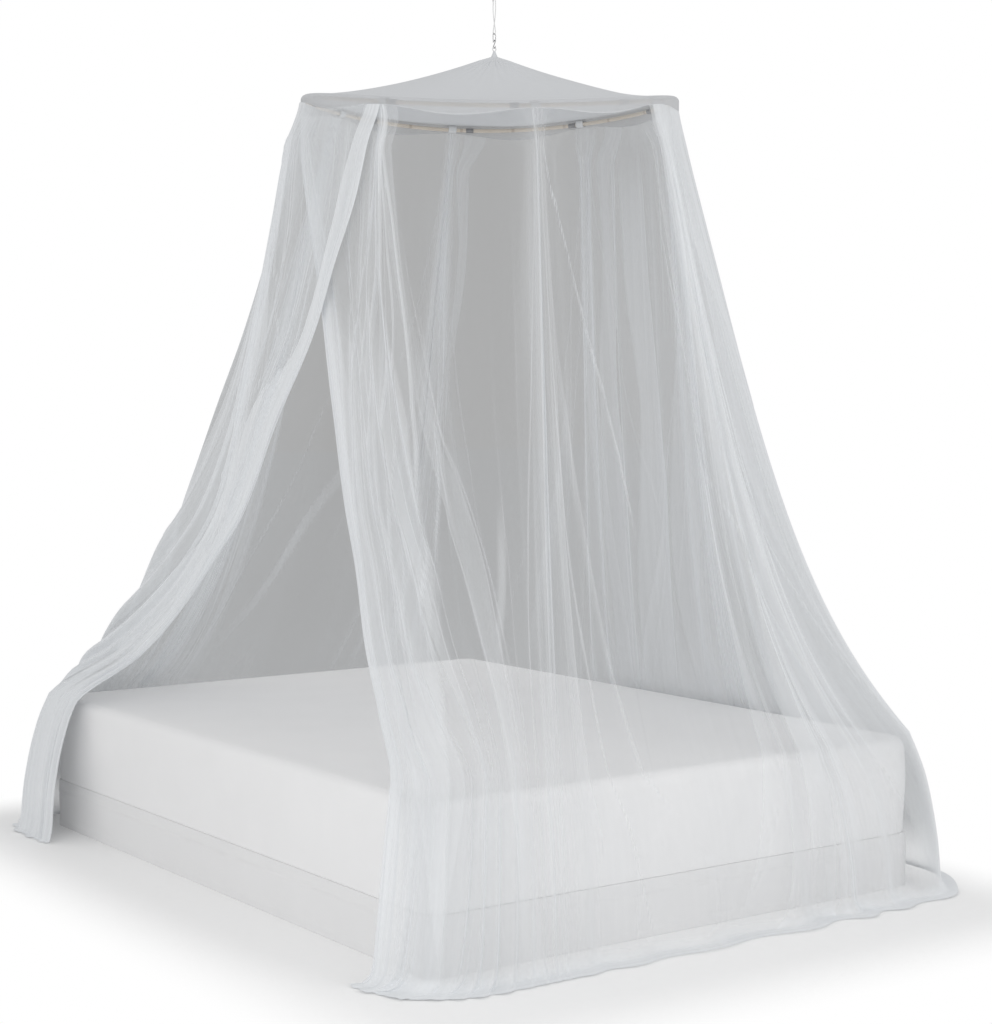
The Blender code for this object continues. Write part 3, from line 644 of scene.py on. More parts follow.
# Small gathers run out from the neck, and the cloth sags between the loops.
gather = np.exp(-np.maximum(0.0, radius - 0.012) / GATHER_REACH)[:, None]
pleat = (np.sin(GATHERS[0] * turn + 0.8 * np.sin(5 * turn))
         + 0.6 * np.sin(GATHERS[1] * turn + 1.3))[None, :]
height = height + GATHER_DEPTH * pleat * gather * soft_rise(radius, 0.011, 0.05)[:, None]
pull = np.cos(np.radians((roof_angle - FIRST_LOOP) * LOOP_COUNT))[None, :]
height += ROOF_SAG * (pull - 1) * soft_rise(radius, 0.20, 0.46)[:, None] * (
    1 - soft_rise(radius, 0.47, 0.505))[:, None]
lean = (1 - np.maximum(0.0, radius - NECK_RADIUS) / (NET_RADIUS - NECK_RADIUS))[:, None]
roof_points = np.stack([
    HOOP_CENTRE[0] + (HANGER_X - HOOP_CENTRE[0]) * lean + radius[:, None] * np.cos(turn),
    HOOP_CENTRE[1] + (HANGER_Y - HOOP_CENTRE[1]) * lean + radius[:, None] * np.sin(turn),
    height], axis=-1)
down = run_length(np.stack([radius, height[:, 0]], axis=1))
roof_uv = np.stack(np.broadcast_arrays(
    np.linspace(0, 2 * math.pi, ROOF_COLUMNS + 1)[None, :] * NET_RADIUS, down[:, None]), axis=-1)

# The roof is denser where it is gathered, thinner over the hoop, and thick at its seam.
roof_layers = np.minimum(6.0, 1.15 + 0.045 / radius)[:, None] * np.ones(ROOF_COLUMNS)
over_hoop = soft_rise(radius, HOOP_RADIUS, NET_RADIUS)[:, None]
seam = soft_rise(down, down[-1] - SEAM_BAND, down[-1] - SEAM_BAND + 0.002)[:, None]
roof_layers *= 1 - 0.40 * over_hoop + 1.2 * seam
slope_end = down[len(NECK_ROWS) + SLOPE_ROWS - 1]
# Over the hoop and down to the seam the roof blends to a darker colour: painted shade on its skirt.
roof_finish.shade({"Base Color": roof_finish.blend(
    roof_finish.along(1).rise(slope_end - 0.01, slope_end + 0.02), ROOF_SHADED_COLOUR, SKIRT_SHADE_COLOUR)})
roof = fit(skin("tent_roof", roof_points, roof_finish, roof_uv, around=True,
                values=roof_layers), "net_cloth", "net_roof")

# ------------------------------------------------------------------------------ hanging widths
# Five widths of the same net, sewn edge to edge and to the roof. They are gathered most at the
# tape loops, fall over the mattress's edge, and their turned hems lie on the floor.
BED_WIDTH, BED_LENGTH, MATTRESS_TOP = 1.53, 2.03, 0.3903
EDGE_OFFSET, EDGE_LIFT, EDGE_CORNER = 0.018, 0.012, 0.08
WALL_SLANT, WALL_FLARE = 0.71, 5.5
CLOTH_LIFT = 0.00075
FALL = (
    # drop: 0 roof's edge, 1 mattress's top edge, 2 hem; fold depth
    (0.00, 0.000), (0.07, 0.003), (0.16, 0.006), (0.28, 0.009), (0.42, 0.013), (0.57, 0.017),
    (0.71, 0.019), (0.83, 0.018), (0.93, 0.013), (1.00, 0.008), (1.20, 0.013), (1.40, 0.018),
    (1.60, 0.022), (1.80, 0.022), (2.00, 0.018),
)
FOOT = (
    # drop, height above the floor, distance outside the bed, ridge height
    (1.0, 0.4023, 0.018, 0.000), (1.2, 0.290, 0.064, 0.000), (1.4, 0.130, 0.096, 0.000),
    (1.6, 0.022, 0.108, 0.004), (1.8, 0.001, 0.132, 0.006), (2.0, 0.001, 0.166, 0.004),
)
LANDING = 0.108
HEM_REACH = (
    # angle, share of the run over the floor
    (112.5, 1.00), (126.0, 0.45), (150.0, 0.15), (220.0, 0.45), (232.0, 1.00), (292.0, 1.00),
    (306.0, 0.70), (325.0, 1.00),
)
LEFT_DOOR_EDGE = (
    # drop, angle
    (0.00, 202.5), (0.14, 200.5), (0.25, 196.5), (0.35, 193.0), (0.52, 180.5), (0.66, 170.5),
    (0.73, 162.0), (0.81, 153.5), (0.90, 145.0), (1.00, 135.8), (1.20, 137.5), (1.50, 138.9),
    (2.00, 139.3),
)
RIGHT_DOOR_EDGE = (
    (0.00, 157.5), (0.06, 166.5), (0.22, 183.5), (0.32, 191.3), (0.49, 201.4), (0.62, 208.5),
    (0.71, 214.0), (0.82, 219.6), (0.91, 225.0), (1.00, 229.0), (1.50, 228.0), (2.00, 225.5),
)
OVERLAP_LIFT, OVERLAP_ANGLES, OVERLAP_DROPS = 0.018, (148.0, 157.0), (0.45, 0.70)
NET_WIDTHS = (
    # name, CAD node, first edge, last edge, fold columns, columns per fold, crowding, pleats,
    # cut width at the top, at the hem
    ("left_door_net", "net_left_door_width", LEFT_DOOR_EDGE, 112.5, 32, 3.0, 1.25, 64, 0.95, 1.10),
    ("head_net", "net_head_width", 112.5, 67.5, 16, 3.2, 1.0, 30, 0.66, 0.95),
    ("far_net", "net_far_width", 67.5, -22.5, 32, 3.3, 1.0, 60, 1.30, 1.90),
    ("foot_net", "net_foot_width", -22.5, -112.5, 32, 3.4, 1.0, 60, 1.30, 1.90),
    ("right_door_net", "net_right_door_width", RIGHT_DOOR_EDGE, 247.5, 32, 3.1, 1.12, 64, 0.80,
     0.82),
)
WIDTH_COLUMNS = 600                     # of a door width, and of a quarter turn of the others
ROW_DROPS = np.concatenate([np.linspace(0, 0.06, 8)[:-1], np.linspace(0.06, 1, 86),
                            1 + np.linspace(0, 1, 34)[1:]])
GATHER_AT_LOOPS, GATHER_AT_HEM, GATHER_START = 0.72, 0.34, 0.07
CROWDING_FULL = 0.30                    # the drop from which columns crowd to a free edge
STEEPEST = 0.13                         # a main fold is at most this deep for its pitch
BUNCH = 0.72                            # how far a door width's cloth is drawn to its free edge
BUNCH_REACH = 0.22                      # over this share of the width
BUNCH_DROPS = (0.12, 0.55)              # and between these drops it comes about
BUNCH_FOLD, BUNCH_DEPTH = 0.034, 0.0048     # it lies there in folds of this pitch and depth
PLEAT_DEPTH, PLEAT_BREADTH = 0.009, (0.0036, 0.0062)    # of the small pleats, by chance
LAID_FOLDS = {
    # each width's broad folds that lie flat on it, listed one by one: the layers that a fold
    # adds, and at some drops its two edges as shares of the width's columns
    "right_door_net": (
        (1.4, ((0.00, 0.00, 0.50), (0.20, 0.00, 0.56), (0.35, 0.00, 0.575),
               (0.50, 0.00, 0.585), (0.70, 0.00, 0.545), (0.85, 0.00, 0.475),
               (1.00, 0.00, 0.34), (1.30, 0.00, 0.35), (2.00, 0.00, 0.38))),
        (3.2, ((0.32, 0.00, 0.52), (0.50, 0.00, 0.57), (0.70, 0.00, 0.53), (0.85, 0.00, 0.46),
               (1.00, 0.00, 0.33), (1.30, 0.00, 0.34), (2.00, 0.00, 0.37))),
        (0.8, ((0.00, 0.955, 1.00), (0.35, 0.95, 1.00), (0.70, 0.96, 1.00), (1.05, 0.98, 1.00))),
    ),
    "foot_net": (
        (0.8, ((0.00, 0.96, 1.00), (0.35, 0.97, 1.00), (0.70, 0.98, 1.00), (0.95, 0.99, 1.00))),
        (2.6, ((0.00, 0.20, 0.53), (0.18, 0.20, 0.55), (0.35, 0.20, 0.505), (0.50, 0.20, 0.53),
               (0.70, 0.20, 0.54), (0.85, 0.20, 0.56), (1.10, 0.20, 0.60))),
    ),
    "far_net": (
        (4.0, ((0.00, 0.60, 0.68), (0.20, 0.62, 0.67), (0.47, 0.59, 0.65), (0.70, 0.585, 0.68),
               (0.85, 0.60, 0.675), (1.05, 0.60, 0.665))),
        (3.5, ((0.05, 0.69, 0.76), (0.25, 0.70, 0.765), (0.50, 0.73, 0.79),
               (0.65, 0.72, 0.805), (0.85, 0.70, 0.79), (1.05, 0.69, 0.77))),
        (2.8, ((0.10, 0.87, 1.00), (0.40, 0.85, 1.00), (0.55, 0.83, 1.00), (0.75, 0.81, 1.00),
               (1.05, 0.85, 1.00))),
        (3.6, ((0.00, 0.05, 0.13), (0.10, 0.09, 0.135), (0.20, 0.115, 0.14),
               (0.45, 0.10, 0.112))),
    ),
    "left_door_net": (
        (7.5, ((0.00, 0.00, 0.05), (0.15, 0.00, 0.12), (0.38, 0.00, 0.21), (0.51, 0.00, 0.37),
               (0.70, 0.00, 0.52), (0.85, 0.00, 0.57), (1.00, 0.00, 0.55), (2.00, 0.00, 0.60))),
        (2.6, ((0.02, 0.55, 0.74), (0.35, 0.56, 0.78), (0.70, 0.60, 0.80), (1.00, 0.62, 0.78))),
    ),
    "head_net": (
        (2.4, ((0.50, 0.64, 0.68), (0.70, 0.42, 0.465), (0.97, 0.20, 0.23))),
    ),
}
CREASES = {
    # each width's narrow folds: layers, breadth in metres, and the middle at some drops
    "right_door_net": (
        (4.0, 0.006, ((0.00, 0.50), (0.20, 0.42), (0.35, 0.32), (0.85, 0.12))),
        (5.0, 0.007, ((0.00, 0.495), (0.20, 0.48), (0.35, 0.455), (0.75, 0.36))),
        (5.0, 0.009, ((0.00, 0.505), (0.20, 0.51), (0.35, 0.51), (0.95, 0.30))),
        (4.0, 0.006, ((0.00, 0.505), (0.20, 0.53), (0.35, 0.545), (0.90, 0.36))),
        (5.0, 0.01, ((0.00, 0.51), (0.20, 0.556), (0.50, 0.581), (0.90, 0.41))),
        (4.0, 0.007, ((0.44, 0.66), (0.60, 0.60), (0.74, 0.55))),
        (3.5, 0.022, ((0.60, 0.765), (0.75, 0.73), (0.88, 0.67))),
        (4.0, 0.005, ((0.00, 0.99), (0.50, 0.985), (0.92, 0.985))),
    ),
    "foot_net": (
        (9.0, 0.004, ((0.02, 0.97), (0.20, 0.881), (0.35, 0.833), (0.50, 0.803), (0.72, 0.778))),
        (5.0, 0.005, ((0.18, 0.66), (0.39, 0.64), (0.48, 0.63), (0.59, 0.60), (0.67, 0.55),
                      (0.85, 0.50))),
        (4.0, 0.006, ((0.30, 0.56), (0.60, 0.53), (1.00, 0.43))),
        (5.0, 0.007, ((0.35, 0.47), (0.70, 0.40), (1.00, 0.33))),
    ),
    "left_door_net": (
        (5.0, 0.008, ((0.00, 0.62), (0.20, 0.47), (0.38, 0.33), (0.70, 0.68))),
        (4.0, 0.007, ((0.00, 0.66), (0.40, 0.70), (0.80, 0.76))),
        (4.0, 0.008, ((0.05, 0.56), (0.40, 0.50), (0.70, 0.58))),
    ),
    "head_net": (
        (4.0, 0.006, ((0.45, 0.445), (0.70, 0.275), (0.97, 0.114))),
        (3.0, 0.006, ((0.10, 0.90), (0.40, 0.72), (0.80, 0.52))),
    ),
    "far_net": (
        (3.0, 0.006, ((0.30, 0.11), (0.60, 0.06), (0.95, 0.04))),
        (3.0, 0.006, ((0.05, 0.54), (0.50, 0.47), (0.90, 0.43))),
    ),
}
FULLNESS = {
    # share of the width's columns, how much fuller than its cut it hangs there above the
    # mattress's edge, and below it
    "left_door_net": ((0.0, 1.0, 4.5), (0.30, 3.0, 13.0), (0.6, 3.6, 11.4), (1.0, 3.0, 9.0)),
    "head_net": ((0.0, 2.4, 7.2), (0.25, 1.6, 4.8), (0.6, 0.8, 2.4), (1.0, 0.8, 2.4)),
    "far_net": ((0.0, 0.8, 2.4), (0.50, 0.8, 2.4), (0.62, 1.8, 7.8), (0.8, 3.0, 12.0),
                (1.0, 3.4, 12.0)),
    "foot_net": ((0.0, 3.4, 12.0), (0.28, 3.2, 9.0), (0.40, 2.8, 3.2), (0.50, 1.8, 2.3),
                 (0.56, 0.9, 2.0), (0.75, 0.7, 2.0), (1.0, 0.7, 2.1)),
    "right_door_net": ((0.0, 0.8, 3.6), (0.5, 0.9, 3.2), (0.65, 0.8, 2.4), (1.0, 0.7, 2.1)),
}
CREASE_EDGE = 0.0025                    # a laid fold's edge is this soft
CREASE_LIFT = 0.0009                    # each layer of it stands this high
LAID_ENDS = (0.02, 0.10, 0.15)          # drops before and after its start, and before its end,
CHANCE_ENDS = (0.06, 0.14, 0.35)        # that it takes to come and go; and a chance fold's
AT_HEM, PAST_HEM = 2.0, 3.0             # a fold laid down to the hem ends past it
BROAD_LAYERS, BROAD_BREADTH = 3.2, (0.012, 0.060)       # of a chance fold: its least breadth,
NARROW_LAYERS, NARROW_BREADTH = 4.5, (0.003, 0.003)     # and how much more it may have
CALM_SEAM = {"foot_net": 0.8, "right_door_net": 0.8}    # how far chance folds thin out at the
CALM_SHARES = (0.90, 0.975)             # last edges of these two, in the middle of the front
LEAST_STEP = 0.0004                     # columns closer than this don't count as more layers
MOST_LAYERS = 4.0                       # that gathering alone gives
SEAM_LAYERS = 1.35                      # the same low down at a door width's seam,
SEAM_SHARES, SEAM_DROPS = (0.45, 0.80), (0.55, 0.90)    # which sets in over these
PUDDLE_LAYERS, HEM_LAYERS, EDGE_LAYERS = 2.0, 1.2, 2.5  # more on the floor, hem and free edge,
PUDDLE_DROPS, HEM_DROPS, EDGE_SHARES = (1.55, 1.75), (1.93, 1.94), (0.008, 0.010)   # from here
OVER_EDGE = (0.85, 1.15)                # drops at which it passes over the mattress's edge
ALL_LAYERS = 18.0                       # the most of everything together
FLOOR_DROP, FLOOR_PUSH = 1.55, 0.55     # from here on the floor, small pleats push out less,
LIFT_DROPS, FLOOR_LIFT = (1.5, 1.7), 0.6    # and come to stand up from it


def flow(rows, column, at):
    """A column of a table as a smooth curve that never swings past its rows: cubic pieces
    whose slope at a row is the harmonic mean of the slopes on its two sides."""
    keys, values = (np.array([row[i] for row in rows], float) for i in (0, column))
    gaps = np.diff(keys)
    slopes = np.diff(values) / gaps
    same_way = slopes[:-1] * slopes[1:] > 0
    total = np.where(same_way, slopes[:-1] + slopes[1:], 1.0)
    inner = np.where(same_way, 2 * slopes[:-1] * slopes[1:] / total, 0.0)
    slope = np.concatenate([slopes[:1], inner, slopes[-1:]])
    i = np.clip(np.searchsorted(keys, at, side="right") - 1, 0, len(keys) - 2)
    t = np.clip((at - keys[i]) / gaps[i], 0.0, 1.0)
    return ((1 + 2 * t) * (1 - t) ** 2 * values[i] + t * (1 - t) ** 2 * gaps[i] * slope[i]
            + t * t * (3 - 2 * t) * values[i + 1] + t * t * (t - 1) * gaps[i] * slope[i + 1])


def bed_outline(angle, offset):
    """Where rays from the bed's middle meet its round-cornered outline, widened by offset."""
    turn = np.radians(angle)
    across, along = np.abs(np.cos(turn)), np.abs(np.sin(turn))
    half_x, half_y = BED_WIDTH / 2 + offset, BED_LENGTH / 2 + offset
    reach = np.minimum(half_x / np.maximum(across, 1e-9), half_y / np.maximum(along, 1e-9))
    corner = EDGE_CORNER + offset
    inner_x, inner_y = half_x - corner, half_y - corner
    middle = across * inner_x + along * inner_y
    inside = np.maximum(0.0, middle ** 2 - inner_x ** 2 - inner_y ** 2 + corner ** 2)
    at_corner = (reach * across > inner_x) & (reach * along > inner_y)
    reach = np.where(at_corner, middle + np.sqrt(inside), reach)
    return reach * np.cos(turn), reach * np.sin(turn)


def smooth_wall(angle, drop):
    """The net without folds. To drop 1: from the seam to the mattress's edge, height straight
    with the drop, spread 0.71 drop + 0.29 drop to the 5.5. Then down and out over the floor."""
    upper = np.minimum(drop, 1.0)
    spread = WALL_SLANT * upper + (1 - WALL_SLANT) * upper ** WALL_FLARE
    top = ring_point(angle, NET_RADIUS, seam_lift(angle) - GAP)
    edge_x, edge_y = bed_outline(angle, EDGE_OFFSET)
    edge_height = MATTRESS_TOP + EDGE_LIFT
    lower = np.maximum(drop, 1.0)
    offset = flow(FOOT, 2, lower)
    reach = np.interp(np.mod(angle, 360), [row[0] for row in HEM_REACH],
                      [row[1] for row in HEM_REACH])
    offset = np.where(offset > LANDING, LANDING + (offset - LANDING) * reach, offset)
    low_x, low_y = bed_outline(angle, offset)
    over = drop > 1.0
    return np.stack([
        np.where(over, low_x, top[..., 0] + (edge_x - top[..., 0]) * spread),
        np.where(over, low_y, top[..., 1] + (edge_y - top[..., 1]) * spread),
        np.where(over, flow(FOOT, 1, lower) + CLOTH_LIFT,
                 top[..., 2] + (edge_height - top[..., 2]) * upper)], axis=-1)


def gathered(angle, drop):
    """The columns crowd to the loops: angle - crowd sin(8 (angle - first loop)) / 8."""
    crowd = GATHER_AT_LOOPS + (GATHER_AT_HEM - GATHER_AT_LOOPS) * soft_rise(drop, 0.0, 1.2)
    crowd = crowd * soft_rise(drop, 0.0, GATHER_START)
    turn = np.radians((angle - FIRST_LOOP) * LOOP_COUNT)
    return angle - np.degrees(crowd * np.sin(turn) / LOOP_COUNT)


def main_fold(column, columns, per_fold):
    """The net's large folds: a sine whose depth and place wander, flat at both edges."""
    turn = 2 * math.pi * column / per_fold
    depth = 1 - 0.28 * (1 - np.sin(turn * 0.19 + 1.1))
    flat = soft_rise(column, 0.2, 1.8) * soft_rise(columns - column, 0.2, 1.8)
    return flat * depth * np.sin(turn + 0.90 * np.sin(turn * 0.23))


def along_fold(drop, begin, end, before, after, fade):
    """1 from a fold's begin to its end, with a soft step at each. It has no step at the roof."""
    started = soft_rise(drop, begin - before, begin + after) if begin > 0 else 1.0
    return started * (1 - soft_rise(drop, end - fade, end))


def laid_fold(v, drop, metric, rows):
    """A broad fold that lies flat: 1 between its two edges, with a soft step at each. It has no
    step at an edge of the width, nor at the hem."""
    near, far = (flow(rows, side, drop) for side in (1, 2))
    soft = CREASE_EDGE / metric
    past_near = soft_rise(v, near - soft, near + soft) if rows[0][1] > 0.0 else 1.0
    before_far = 1 - soft_rise(v, far - soft, far + soft) if rows[0][2] < 1.0 else 1.0
    end = rows[-1][0] if rows[-1][0] < AT_HEM else PAST_HEM
    return past_near * before_far * along_fold(drop, rows[0][0], end, *LAID_ENDS)


def crease(v, drop, metric, breadth, stops):
    """A narrow fold: 1 - x x across its breadth, along a smooth line, fading at both ends."""
    across = (v - flow(stops, 1, drop)) * metric * 2 / breadth
    return along_fold(drop, stops[0][0], stops[-1][0], *LAID_ENDS) * np.maximum(0.0, 1 - across ** 2)


def chance_folds(v, drop, metric, loops, broad, narrow, draw):
    """More folds by chance. Each starts near a tape loop and runs straight, fanning out. The
    broad ones have one crisp edge and thin out to nothing over their breadth."""
    total = np.zeros_like(metric)
    for k in range(broad + narrow):
        begin = max(0.0, draw.uniform(-0.5, 0.55))
        end = min(AT_HEM, begin + draw.uniform(0.5, 1.9))
        loop, out, slope = draw.choice(loops), draw.normal(0, 0.17), draw.normal(0, 0.05)
        middle = np.clip(loop + out * (0.15 + 0.85 * drop) + slope * (drop - begin), 0.004, 0.996)
        thick, wide, side = draw.uniform(0.4, 1.0), draw.uniform(0.0, 1.0), draw.choice((-1, 1))
        least, more = BROAD_BREADTH if k < broad else NARROW_BREADTH
        breadth = least + more * wide
        across = (v - middle) * metric / breadth
        if k < broad:
            t = np.clip(0.5 + side * across, 0.0, 1.0)
            shape = soft_rise(t, 0.0, CREASE_EDGE / breadth) * (1 - t) * (thick * BROAD_LAYERS)
        else:
            shape = thick * NARROW_LAYERS * np.maximum(0.0, 1 - 4 * across ** 2)
            shape *= 1 - 0.7 * soft_rise(drop, 0.80, 1.05)
        total += shape * along_fold(drop, begin, end, *CHANCE_ENDS)
    return total


def spread_columns(v, drop, first, last, crowding):
    """The angle of each point of a width, and its share v of the way across once the cloth is
    drawn to a free edge: v - b r (1 - exp(-v / r)), scaled to end at 1."""
    free = isinstance(first, tuple)
    start = flow(first, 1, drop) if free else first
    crowd = 1 + (crowding - 1) * soft_rise(drop, 0.0, CROWDING_FULL)
    bunched = BUNCH * soft_rise(drop, *BUNCH_DROPS) if free else 0.0
    packed = v - bunched * BUNCH_REACH * (1 - np.exp(-v / BUNCH_REACH))
    packed = packed / (1 - bunched * BUNCH_REACH * (1 - math.exp(-1 / BUNCH_REACH)))
    share = packed ** crowd if crowding != 1.0 else packed
    angle = start + (last - start) * share
    follow = soft_rise(share, 0.0, 0.25) if free else 1.0
    return angle + (gathered(angle, drop) - angle) * follow, packed


def crossing(angle, drop):
    """How far the left door width lies outside the right one, from the roof to their crossing."""
    return (OVERLAP_LIFT * soft_rise(angle, *OVERLAP_ANGLES)
            * (0.35 + 0.65 * soft_rise(drop, 0.0, 0.06)) * (1 - soft_rise(drop, *OVERLAP_DROPS)))


def bunched_folds(v, drop, step):
    """The folds at a free edge: a sine over each fold's pitch, whose place and depth wander,
    and which fades away from the edge."""
    across = np.cumsum(step, axis=1) / BUNCH_FOLD
    lie = (np.sin(2 * math.pi * across + 2.6 * np.sin(1.7 * across + 1.6 * drop) + 2.4 * drop)
           * (0.45 + 0.55 * np.sin(2.9 * across - 3.1 * drop)))
    return (lie * BUNCH_DEPTH * soft_rise(drop, 0.10, 0.45) * soft_rise(v, 0.0, 0.03)
            * (1 - soft_rise(v, 0.30, 0.62)))


def small_pleats(v, drop, angle, metric, pleats, free, draw):
    """Small pleats by chance: a bell curve across each one's line down the net. They are
    deepest under the loops and fade at the seams, below the mattress and at a free edge."""
    place = (np.arange(pleats) + draw.uniform(0.15, 0.85, pleats)) / pleats
    depth = draw.uniform(0.15, 1.0, pleats) ** 2.2 * PLEAT_DEPTH
    breadth = draw.uniform(*PLEAT_BREADTH, pleats)
    begin = draw.uniform(-0.5, 0.45, pleats)
    end = draw.uniform(0.45, 1.0, pleats) ** 2 * AT_HEM
    wander = draw.normal(0, 0.35, pleats) / pleats
    phase = draw.uniform(0, 2 * math.pi, pleats)
    relief = np.zeros_like(metric)
    for k in range(pleats):
        at = place[k] + wander[k] * drop + 0.10 / pleats * np.sin(3.1 * drop + phase[k])
        wide = np.minimum(breadth[k], 0.33 * metric / pleats)
        shown = soft_rise(drop, begin[k], begin[k] + 0.3) * (
            1 - soft_rise(drop, end[k] - 0.4, end[k]))
        relief += shown * depth[k] * wide / breadth[k] * np.exp(
            -((v - at) * metric / wide) ** 2 / 2)
    under_loop = (1 + np.cos(np.radians((angle - FIRST_LOOP) * LOOP_COUNT))) / 2
    relief *= 0.25 + 0.75 * under_loop
    relief *= soft_rise(v, 0, 0.006) * soft_rise(1 - v, 0, 0.006) * soft_rise(drop, 0.005, 0.07)
    relief *= 1 - 0.8 * soft_rise(drop, 0.85, 1.10)
    if free:
        relief *= 1 - 0.6 * soft_rise(drop, 0.2, 0.5) * (1 - soft_rise(v, 0.3, 0.6))
    return relief


def cloth_layers(name, v, drop, hung, free, laid):
    """Layers of cloth: hung, the cut cloth over the width it hangs at, times its fullness, with
    the laid folds and the turned edges added."""
    layers = np.minimum(hung, MOST_LAYERS)
    if free:
        at_seam = soft_rise(v, *SEAM_SHARES) * soft_rise(drop, *SEAM_DROPS)
        layers = np.minimum(layers, MOST_LAYERS + (SEAM_LAYERS - MOST_LAYERS) * at_seam)
    above, below = (flow(FULLNESS[name], part, v) for part in (1, 2))
    layers = layers * (above + (below - above) * soft_rise(drop, *OVER_EDGE)) + laid
    layers = layers * (1 + PUDDLE_LAYERS * soft_rise(drop, *PUDDLE_DROPS)
                       + HEM_LAYERS * soft_rise(drop, *HEM_DROPS))
    if free:
        layers = layers + EDGE_LAYERS * (1 - soft_rise(v, *EDGE_SHARES))
    return np.minimum(layers, ALL_LAYERS)


def net_width(name, first, last, columns, per_fold, crowding, pleats, cut_top, cut_hem, draw):
    """One width's points, its UV in metres of flat cloth, and its layers of cloth. v goes from
    its first edge, 0, to its last, 1, and drop goes down it. Folds push the wall outwards."""
    free = isinstance(first, tuple)
    count = WIDTH_COLUMNS if free else int(WIDTH_COLUMNS * abs(last - first) / 90.0)
    v = np.linspace(0, 1, count + 1)[None, :]
    drop = ROW_DROPS[:, None]
    angle, packed = spread_columns(v, drop, first, last, crowding)
    drops = np.broadcast_to(drop, angle.shape)
    points = smooth_wall(angle, drops)
    ahead = smooth_wall(angle + 0.4, drops) - smooth_wall(angle - 0.4, drops)
    tangent = ahead[..., :2] / np.linalg.norm(ahead[..., :2], axis=-1, keepdims=True)
    outward = np.stack([tangent[..., 1], -tangent[..., 0]], axis=-1)
    step = np.linalg.norm(np.gradient(points, axis=1), axis=-1)      # metres to a column
    metric = step * count                                             # metres to all of v

    wave = main_fold(packed * columns, columns, per_fold)
    push = wave * np.minimum(flow(FALL, 1, drop), STEEPEST * metric * per_fold / columns)
    if first is LEFT_DOOR_EDGE:
        push = push + crossing(angle, drop)
    if free:
        push = push + bunched_folds(v, drop, step)
    fine = small_pleats(v, drop, angle, metric, pleats, free, draw)
    push = push + fine * np.where(drop < FLOOR_DROP, 1.0, FLOOR_PUSH)
    laid = np.zeros_like(metric)
    for thick, rows in LAID_FOLDS[name]:
        laid += thick * laid_fold(v, drop, metric, rows)
    for thick, breadth, stops in CREASES[name]:
        laid += thick * crease(v, drop, metric, breadth, stops)
    loops = (0.0, 1.0) if name == "head_net" else (0.0, 0.5, 1.0)
    chance = chance_folds(v, drop, metric, loops, pleats // 2, pleats // 3, draw)
    push = push + CREASE_LIFT * (laid + 0.5 * chance) * soft_rise(drop, 0.01, 0.08)
    laid += chance * (1 - CALM_SEAM.get(name, 0.0) * soft_rise(v, *CALM_SHARES))
    points[..., :2] += outward * push[..., None]
    ridge = flow(FOOT, 3, np.maximum(drop, 1.0)) * (drop > 1.0)
    points[..., 2] += ridge * (wave + 1) / 2 + fine * soft_rise(drop, *LIFT_DROPS) * FLOOR_LIFT

    flat = cut_top + (cut_hem - cut_top) * np.minimum(drop, 1.6) / 1.6
    length = np.linalg.norm(np.diff(points, axis=0), axis=-1)
    down = np.concatenate([np.zeros((1, count + 1)), np.cumsum(length, axis=0)])
    uv = np.stack(np.broadcast_arrays(v * flat.mean(), down), axis=-1)
    hung = flat / count / np.maximum(step, LEAST_STEP)
    return points, uv, cloth_layers(name, v, drop, hung, free, laid)


net_finish = fine_net("hanging_net", (0.78, 0.80, 0.82), 0.085, 0.8)
for seed, (name, node, *shape, cut_top, cut_hem) in enumerate(NET_WIDTHS):
    points, uv, layers = net_width(name, *shape, cut_top, cut_hem, np.random.default_rng(40 + seed))
    width = fit(skin(name, points, net_finish, uv, values=layers), "net_cloth", node)

# ------------------------------------------------------------------------------ the bed
# A plain mattress in a fitted cotton sheet, piped round its upper and lower edges, on a low
# base covered with the same cloth, whose colour is made darker as painted shade. The net only falls
# over its edge.
BASE_HEIGHT, BASE_INSET, BASE_CORNER, BASE_EDGE = 0.14, 0.006, 0.03, 0.003
MATTRESS_LOW, MATTRESS_CORNER, MATTRESS_EDGE = 0.1403, 0.06, 0.025
SHEET_FULLNESS, SHEET_PIPING = 0.006, 0.002
COVER_FULLNESS, COVER_PIPING = 0.001, 0.0015
PIPING_BELOW_TOP, PIPING_ABOVE_LOW, PIPING_WIDTH = 0.030, 0.016, 0.0035
OUTLINE_POINTS, SIDE_ROWS, EDGE_ROWS, TOP_RINGS = 240, 24, 9, 24
TOP_RIPPLE = 0.0022                     # soft creases of the cover on top


def bed_cotton(name, light):
    """White cotton sheet: a fine plain weave, soft creases darkened in painted shade, a little
    sheen.
    """
    finish = Finish(name)
    place = finish.place()
    x, y, z = (finish.along(axis, "Object") for axis in range(3))
    weave = (x * 7000 + z * 1500).sine() * (y * 7000 + z * 5000).sine() * 0.5 + 0.5
    crease = finish.noise(place, 5.5, 4.0, 0.55)
    # The colour is darker where the creases and the weave lie low: painted shade.
    finish.shade({"Base Color": finish.blend(crease * 0.7 + weave * 0.3,
                                             tuple(0.93 * tone for tone in light), light),
                  "Roughness": 0.85, "Sheen Weight": 0.15,
                  "Normal": finish.bump(crease * 0.96 + weave * 0.04, 0.004)})
    return finish


